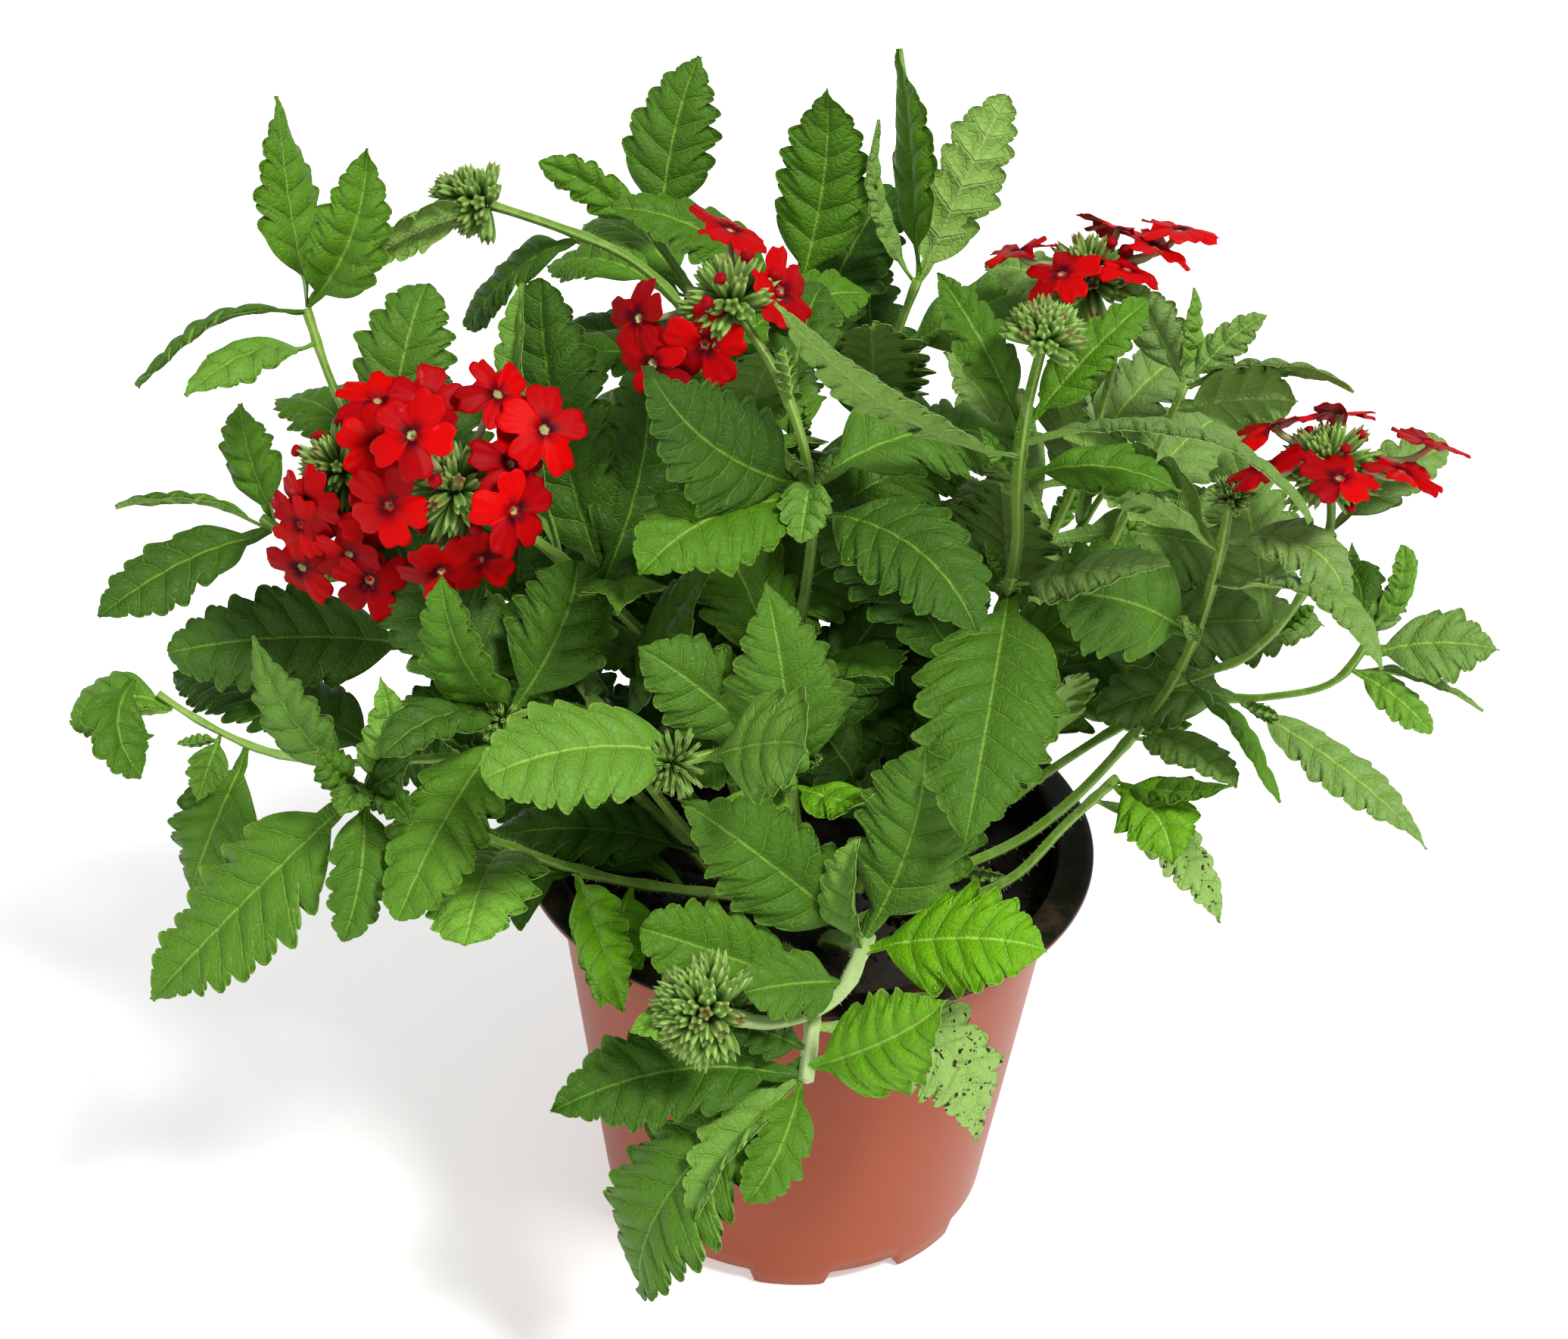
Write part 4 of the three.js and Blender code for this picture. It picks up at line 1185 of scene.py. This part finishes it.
def in_the_way(samples, shown, eyes):
    """Whether a leaf hides a flower or much of the leaves shown at the front, or is where none shows.

    None shows low in front of the pot, nor beside the pot at the lower right.
    """
    if ((samples[:, 1] < FRONT_LOW[0]) & (samples[:, 2] < FRONT_LOW[1])).any():
        return True
    flat, near = from_front(samples)
    if ((flat[:, 0] > OPEN_CORNER[0]) & (flat[:, 1] < OPEN_CORNER[1])).any():
        return True
    for others, room, share in ((eyes, EYE_ROOM, 0.0), (shown, LEAF_ROOM, LEAF_SHARE_HIDDEN)):
        other_flat, other_near = from_front(others)
        hiding = (distances(flat, other_flat) < room) & (near[:, None] > other_near[None] - 4 * MM)
        if hiding.any(1).mean() > share:
            return True
    return False


def clearest_leaf(stem, fraction, turn, shown, eyes, taken, rng):
    """The clearest of a few random leaves at one place, as (stem, strand, width, samples), or nothing."""
    others = np.vstack([strand.points for name, strand in STEMS.items() if name != stem])
    best, best_gap = None, FILL_CLEARANCE
    for _ in range(FILL_TRIES):
        leaf, width = fill_candidate(stem, fraction, turn, rng)
        points = leaf_samples(leaf, width)
        inside = (points > FILL_LOW).all() and (points < FILL_HIGH).all()
        if inside and not in_the_way(points, shown, eyes):
            gap = min(distances(points, taken).min(), 1.3 * distances(points, others).min())
            if gap > best_gap:
                best, best_gap = (stem, leaf, width, points), gap
    return best


def fill_leaves(samples, places):
    """Grows opposite pairs of leaves where stems are bare."""
    rng = random.Random(FILL_SEED)
    shown = taken = np.vstack(samples)
    eyes = np.vstack([head_centre(name) + np.array(HEADS[name][2], float) * MM for name in HEADS])
    grown = []
    for stem, strand in STEMS.items():
        node_at, turn = FILL_FIRST_NODE, rng.uniform(0, 6.3)
        while node_at < strand.length * FILL_LAST_NODE:
            fraction = node_at / strand.length
            free = all(abs(fraction - other) * strand.length > NODE_ROOM for other in places[stem])
            for opposite in (0, math.pi) if free else ():
                best = clearest_leaf(stem, fraction, turn + opposite, shown, eyes, taken, rng)
                if best:
                    grown.append(best[:3])
                    taken = np.vstack([taken, best[3]])
                    places[stem].append(fraction)
            node_at += FILL_NODE_STEP * rng.uniform(0.85, 1.2)
            turn += math.pi / 2
    return grown


# ---- Pot and soil ----

POT_AROUND = 240
BASE_RADIUS = 41 * MM
SHOULDER_RADIUS = 53.5 * MM
RIM_RADIUS = 60 * MM
UNDER_RIM = 88.4 * MM
POT_HEIGHT = 90 * MM
LIP = 0.35 * MM
WALL = 1.2 * MM
FOOT_RISE = 4 * MM
FOOT_WIDTH = 2 * MM
FOOT_CHAMFER = 0.3 * MM
WOBBLE = 0.12 * MM
DRAIN_COUNT = 8
DRAIN_HALF_ANGLE = math.radians(12.8)
DRAIN_EDGE = math.radians(3)
SOIL_HEIGHT = 78 * MM
SOIL_FLOOR = 50 * MM
SOIL_CROWN = 2 * MM
SOIL_RINGS = 40
SOIL_AROUND = 120
SOIL_MIDDLE = 1.2 * MM
SOIL_SEED = 5
CRUMBS = 900
CRUMB_TILTS = (0.55, 1.15, 1.8, 2.5)
CRUMB_AROUND = 6


def wall_radius(height):
    return BASE_RADIUS + (SHOULDER_RADIUS - BASE_RADIUS) * height / UNDER_RIM


def pot_profile():
    """The pot's outline up its outside, over its rim and down its inside: (radius, height, how coloured)."""
    foot, inner_top = BASE_RADIUS - FOOT_WIDTH, SHOULDER_RADIUS - WALL
    outside = np.linspace(FOOT_RISE + 0.4 * MM, UNDER_RIM - 1.2 * MM, 24)
    inside = np.linspace(POT_HEIGHT - 0.6 * MM, FOOT_RISE + 2 * MM, 16)
    return [
        (foot - FOOT_CHAMFER, FOOT_RISE, 1),
        (foot, FOOT_CHAMFER, 1),
        (foot + FOOT_CHAMFER, 0, 1),
        (BASE_RADIUS - 0.5 * MM, 0, 1),
        (BASE_RADIUS - 0.05 * MM, 0.5 * MM, 1),
        *[(wall_radius(z), z, 1) for z in outside],
        (SHOULDER_RADIUS + 0.25 * MM, UNDER_RIM - 0.35 * MM, 1),
        (SHOULDER_RADIUS + 1.2 * MM, UNDER_RIM, 1),
        (RIM_RADIUS - LIP, UNDER_RIM, 1),
        (RIM_RADIUS, UNDER_RIM + LIP, 0.9),
        (RIM_RADIUS, POT_HEIGHT - LIP, 0.3),
        (RIM_RADIUS - LIP, POT_HEIGHT, 0),
        *[(inner_top + (RIM_RADIUS - inner_top) * s, POT_HEIGHT, 0) for s in (0.75, 0.5, 0.25, 0.08)],
        *[(wall_radius(z) - WALL, z, 0) for z in inside],
    ]


def build_pot(material):
    """A thin pot on a foot ring with drainage notches, and a flat rim. Its tone is 1 where it is coloured."""
    angles = circle(POT_AROUND)
    drain_step = 2 * math.pi / DRAIN_COUNT
    from_drain = np.abs((angles % drain_step) - drain_step / 2)
    notch = smooth((DRAIN_HALF_ANGLE - from_drain) / DRAIN_EDGE) * FOOT_RISE
    rows, tones = [], []
    for radius, height, coloured in pot_profile():
        heights = np.maximum(height, notch if height < FOOT_RISE else 0 * notch)
        reach = radius + WOBBLE * np.sin(3 * angles + 1) * height / POT_HEIGHT
        rows.append(np.stack([reach * np.cos(angles), reach * np.sin(angles), heights], 1))
        tones += [(coloured, 0, 0, 0)] * POT_AROUND
    parts = Parts()
    tones += [(1, 0, 0, 0), (0, 0, 0, 0)]
    parts.add_rings(rows, (0, 0, FOOT_RISE), (0, 0, FOOT_RISE + 2 * MM), tones)
    own(parts.mesh("pot_shell", material), "pot", "pot")


def add_crumb(parts, centre, size, rng):
    """A small crumb: a ball with a rough, slightly squashed shape. Its tone is how light it is."""
    turn = Quaternion([rng.gauss(0, 1) for _ in range(4)]).normalized().to_matrix()
    stretch = draws(rng, 0.6, 1.3, 3) * size
    spots = []
    for tilt in CRUMB_TILTS:
        for step in range(CRUMB_AROUND):
            angle, out = (step + 0.5 * (tilt > 1.5)) * math.pi / 3, math.sin(tilt)
            spot = np.array([out * math.cos(angle), out * math.sin(angle), math.cos(tilt)])
            spots.append(spot * rng.uniform(0.8, 1.2))
    spots += [(0, 0, 1), (0, 0, -1)]
    vertices = (np.array(spots) * stretch) @ np.array(turn).T + centre
    faces = capped_faces(len(CRUMB_TILTS), CRUMB_AROUND)
    parts.add(vertices, faces, np.full((len(vertices), 4), rng.random()))


def soil_height(radius, edge):
    return SOIL_HEIGHT + SOIL_CROWN * (1 - (radius / edge) ** 2)


def roughness_at(x, y):
    """How far the soil's surface stands off at a place: coarse lumps and fine ones."""
    coarse = noise_field.fractal(Vector((x * 90, y * 90, 0.3)), 0.7, 2.1, 4)
    return 1.6 * MM * coarse + 0.7 * MM * noise_field.fractal(Vector((x * 320, y * 320, 7)), 0.7, 2.1, 4)


def build_soil(material):
    rng = random.Random(SOIL_SEED)
    edge = wall_radius(SOIL_HEIGHT) - WALL
    angles = circle(SOIL_AROUND)
    foot = edge - 4 * MM
    rows = [np.stack([foot * np.cos(angles), foot * np.sin(angles), 0 * angles + SOIL_FLOOR], 1)]
    for radius in np.linspace(edge, SOIL_MIDDLE, SOIL_RINGS):
        ring = [(radius * math.cos(a), radius * math.sin(a)) for a in angles]
        rows.append(np.array([(x, y, soil_height(radius, edge) + roughness_at(x, y)) for x, y in ring]))
    parts = Parts()
    tones = np.full((len(rows) * SOIL_AROUND + 2, 4), 0.5)
    parts.add_rings(rows, (0, 0, SOIL_FLOOR), (0, 0, SOIL_HEIGHT + SOIL_CROWN), tones)
    for _ in range(CRUMBS):
        angle, radius = rng.uniform(0, 2 * math.pi), edge * math.sqrt(rng.random()) * 0.98
        height = soil_height(radius, edge) + rng.uniform(-0.2, 0.5) * MM
        place = np.array([radius * math.cos(angle), radius * math.sin(angle), height])
        add_crumb(parts, place, rng.uniform(0.35, 1.3) * MM, rng)
    own(parts.mesh("soil_crumbs", material), "soil", "soil")


# ---- Other materials ----


def pot_material():
    material, shader = new_material("pot_plastic", Roughness=0.38, Specular_IOR_Level=0.2)
    place, coloured, *_ = surface_of(shader)
    grain = noise(place, 1500.0, 2.0)
    clay = mix(fade(noise(place, 14.0, 4.0), 0.3, 0.7), (0.25, 0.043, 0.0118), (0.30, 0.059, 0.018))
    clay = layered(clay, (grain, 0.25, (0.19, 0.031, 0.009)))
    dust = fade(noise(place, 160.0, 5.0, 0.65), 0.42, 0.7)
    dark = mix(times(dust, 0.8), (0.004, 0.004, 0.004), (0.055, 0.026, 0.012))
    colour = mix(fade(coloured, 0.45, 0.6), dark, clay)
    relief = maths("ADD", times(grain, 0.3), noise(place, 60.0))
    finish_surface(shader, colour, relief, 0.12, 0.0004)
    return material


def soil_material():
    material, shader = new_material("soil", Roughness=0.95)
    place, shade, *_ = surface_of(shader)
    colour = mix(shade, (0.004, 0.003, 0.002), (0.016, 0.009, 0.005))
    colour = mix(fade(noise(place, 500.0, 5.0, 0.7), 0.45, 0.75), colour, (0.026, 0.015, 0.008))
    finish_surface(shader, colour, noise(place, 700.0, 6.0, 0.7), 0.9, 0.0008)
    return material


def stem_material():
    material, shader = new_material("stem", Roughness=0.5, Specular_IOR_Level=0.3)
    place, hair, ridge, pale, _ = surface_of(shader)
    streaks = fade(noise(place, 420.0, 2.0), 0.45, 0.7)
    brown = fade(noise(place, 210.0, 3.0, 0.6), 0.68, 0.76)
    green = layered(
        mix(fade(noise(place, 35.0), 0.3, 0.7), (0.085, 0.20, 0.008), (0.20, 0.35, 0.04)),
        (fade(ridge, 0.5, 1.0), 0.6, (0.34, 0.48, 0.14)),
        (streaks, 0.35, (0.32, 0.46, 0.12)),
        (brown, 0.7, (0.06, 0.03, 0.012)),
        (pale, 0.75, (0.46, 0.58, 0.28)),
        (hair, 1.0, (0.55, 0.68, 0.42)),
    )
    finish_surface(shader, green, noise(place, 900.0), 0.35, 0.0003)
    return material


def bud_material():
    material, shader = new_material("bud", Roughness=0.6, Specular_IOR_Level=0.2)
    place, rib, along, red, _ = surface_of(shader)
    # Painted shade: the grooves between the ribs and the hollow in each mouth are darker, and grooves and
    # ribs alike darken toward each bud's foot, deep among the crowded buds.
    groove_shade = mix(along, (0.018, 0.055, 0.007), (0.14, 0.27, 0.04))
    ridge = mix(along, (0.06, 0.15, 0.012), (0.36, 0.55, 0.14))
    colour = layered(
        mix(fade(rib, 0.25, 0.95), groove_shade, ridge),
        (fade(noise(place, 300.0), 0.4, 0.8), 1.0, (0.10, 0.20, 0.03)),
        (red, 0.8, (0.16, 0.012, 0.02)),
    )
    finish_surface(shader, colour, noise(place, 1200.0), 0.3, 0.0003)
    return material


def petal_material():
    material, shader = new_material("petal", Roughness=0.5, Specular_IOR_Level=0.06)
    place, limb, eye, tube_foot, under = surface_of(shader)
    # Pale pink patches: withered spots on the petals, with a painted glint of damp on them as well.
    pale_patch = fade(noise(place, 170.0, 4.0, 0.6), 0.66, 0.72)
    colour = layered(
        mix(limb, (0.05, 0.0, 0.003), (0.54, 0.0, 0.0)),
        (fade(noise(place, 240.0), 0.5, 0.8), 0.3, (0.42, 0.0, 0.008)),
        (under, 0.4, (0.34, 0.008, 0.02)),
        (pale_patch, 0.4, (0.68, 0.05, 0.09)),
        (fade(tube_foot, 0.4, 0.75), 1.0, (0.36, 0.36, 0.16)),
        (fade(eye, 0.55, 0.95), 1.0, (0.42, 0.44, 0.20)),
    )
    finish_surface(shader, colour, noise(place, 800.0), 0.3, 0.0003)
    return material


# ---- The scene ----

SHEEN_SIDE = 45 * MM
SHADED_BELOW = 130 * MM
MORE_SEED, FILL_LEAF_SEED, SHOOT_SEED = 100, 300, 700
SHOOT_SHARE = 0.45
SHOOT_HIGHEST = 0.9


def build_leaves(material):
    """Every leaf. Returns the fractions of each stem's length at which leaves stand on it."""
    places = {name: [] for name in STEMS}
    samples = []
    for seed, (name, (look, wider)) in enumerate(FRAME_LEAVES.items()):
        strand, width = frame_leaf(name)
        width *= wider
        stem = nearest_stem(strand.points[0])
        places[stem].append(STEMS[stem].nearest(strand.points[0])[0])
        samples.append(leaf_samples(strand, width))
        build_leaf(name + "_blade", strand, width, look, material, seed, name)
    for seed, (name, (start, tip, width, bow, face, look)) in enumerate(MORE_LEAVES.items(), MORE_SEED):
        start, tip, bow = (np.array(v, float) * MM for v in (start, tip, bow))
        stem, fraction, _ = stalk_root(start, tip)
        places[stem].append(fraction)
        strand = free_leaf(start, tip, bow, face)
        samples.append(leaf_samples(strand, width * MM))
        build_leaf("leaf_" + name, strand, width * MM, look, material, seed)
    for count, (stem, strand, width) in enumerate(fill_leaves(samples, places)):
        x, _, z = strand.points[0]
        # Painted light: fill leaves low in the plant take the dark look as painted shade under the foliage,
        # and those on the right take the grey look, partly painted sheen where the key light falls.
        look = "grey" if x > SHEEN_SIDE else "dark" if z < SHADED_BELOW else ("dark", "mid", "mid")[count % 3]
        build_leaf(f"{stem}_leaf_{count + 1}", strand, width, look, material, FILL_LEAF_SEED + count)
    return places


def build_shoots(places, material):
    """Tiny young leaves in some of the angles between the stems and their leaves."""
    for stem, fractions in places.items():
        rng = random.Random(stem)
        for count, fraction in enumerate(sorted(fractions)):
            if rng.random() > SHOOT_SHARE or fraction > SHOOT_HIGHEST or stem in STOUT_STEMS:
                continue
            centre, tangent, side, normal = STEMS[stem].at(fraction)
            outward = outward_at(rng.uniform(0, 2 * math.pi), side, normal)
            length = rng.uniform(8, 15) * MM
            start = under_skin(stem, fraction, centre, outward)
            tip = start + unit(tangent + 0.7 * outward) * length
            strand = Strand([start, (start + tip) / 2 + outward * 1.2 * MM, tip], tangent - outward)
            name = f"{stem}_shoot_{count + 1}"
            build_leaf(name, strand, length * 0.42, "young", material, SHOOT_SEED + count)


def build_plant():
    build_pot(pot_material())
    build_soil(soil_material())
    leaf_skin = leaf_material()
    places = build_leaves(leaf_skin)
    build_shoots(places, leaf_skin)
    stem_skin = stem_material()
    for name in STEMS:
        build_stem(name, stem_skin, places[name])
    bud_skin, petal_skin = bud_material(), petal_material()
    for name in HEADS:
        build_head(name, bud_skin, petal_skin)
    for name in BUD_HEADS:
        build_bud_head(name, bud_skin)


def write_sizes():
    [list(corner) for corner in (CAD_LOW, CAD_HIGH)]
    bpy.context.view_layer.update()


make_camera()
make_light()
make_floor()
build_plant()
write_sizes()
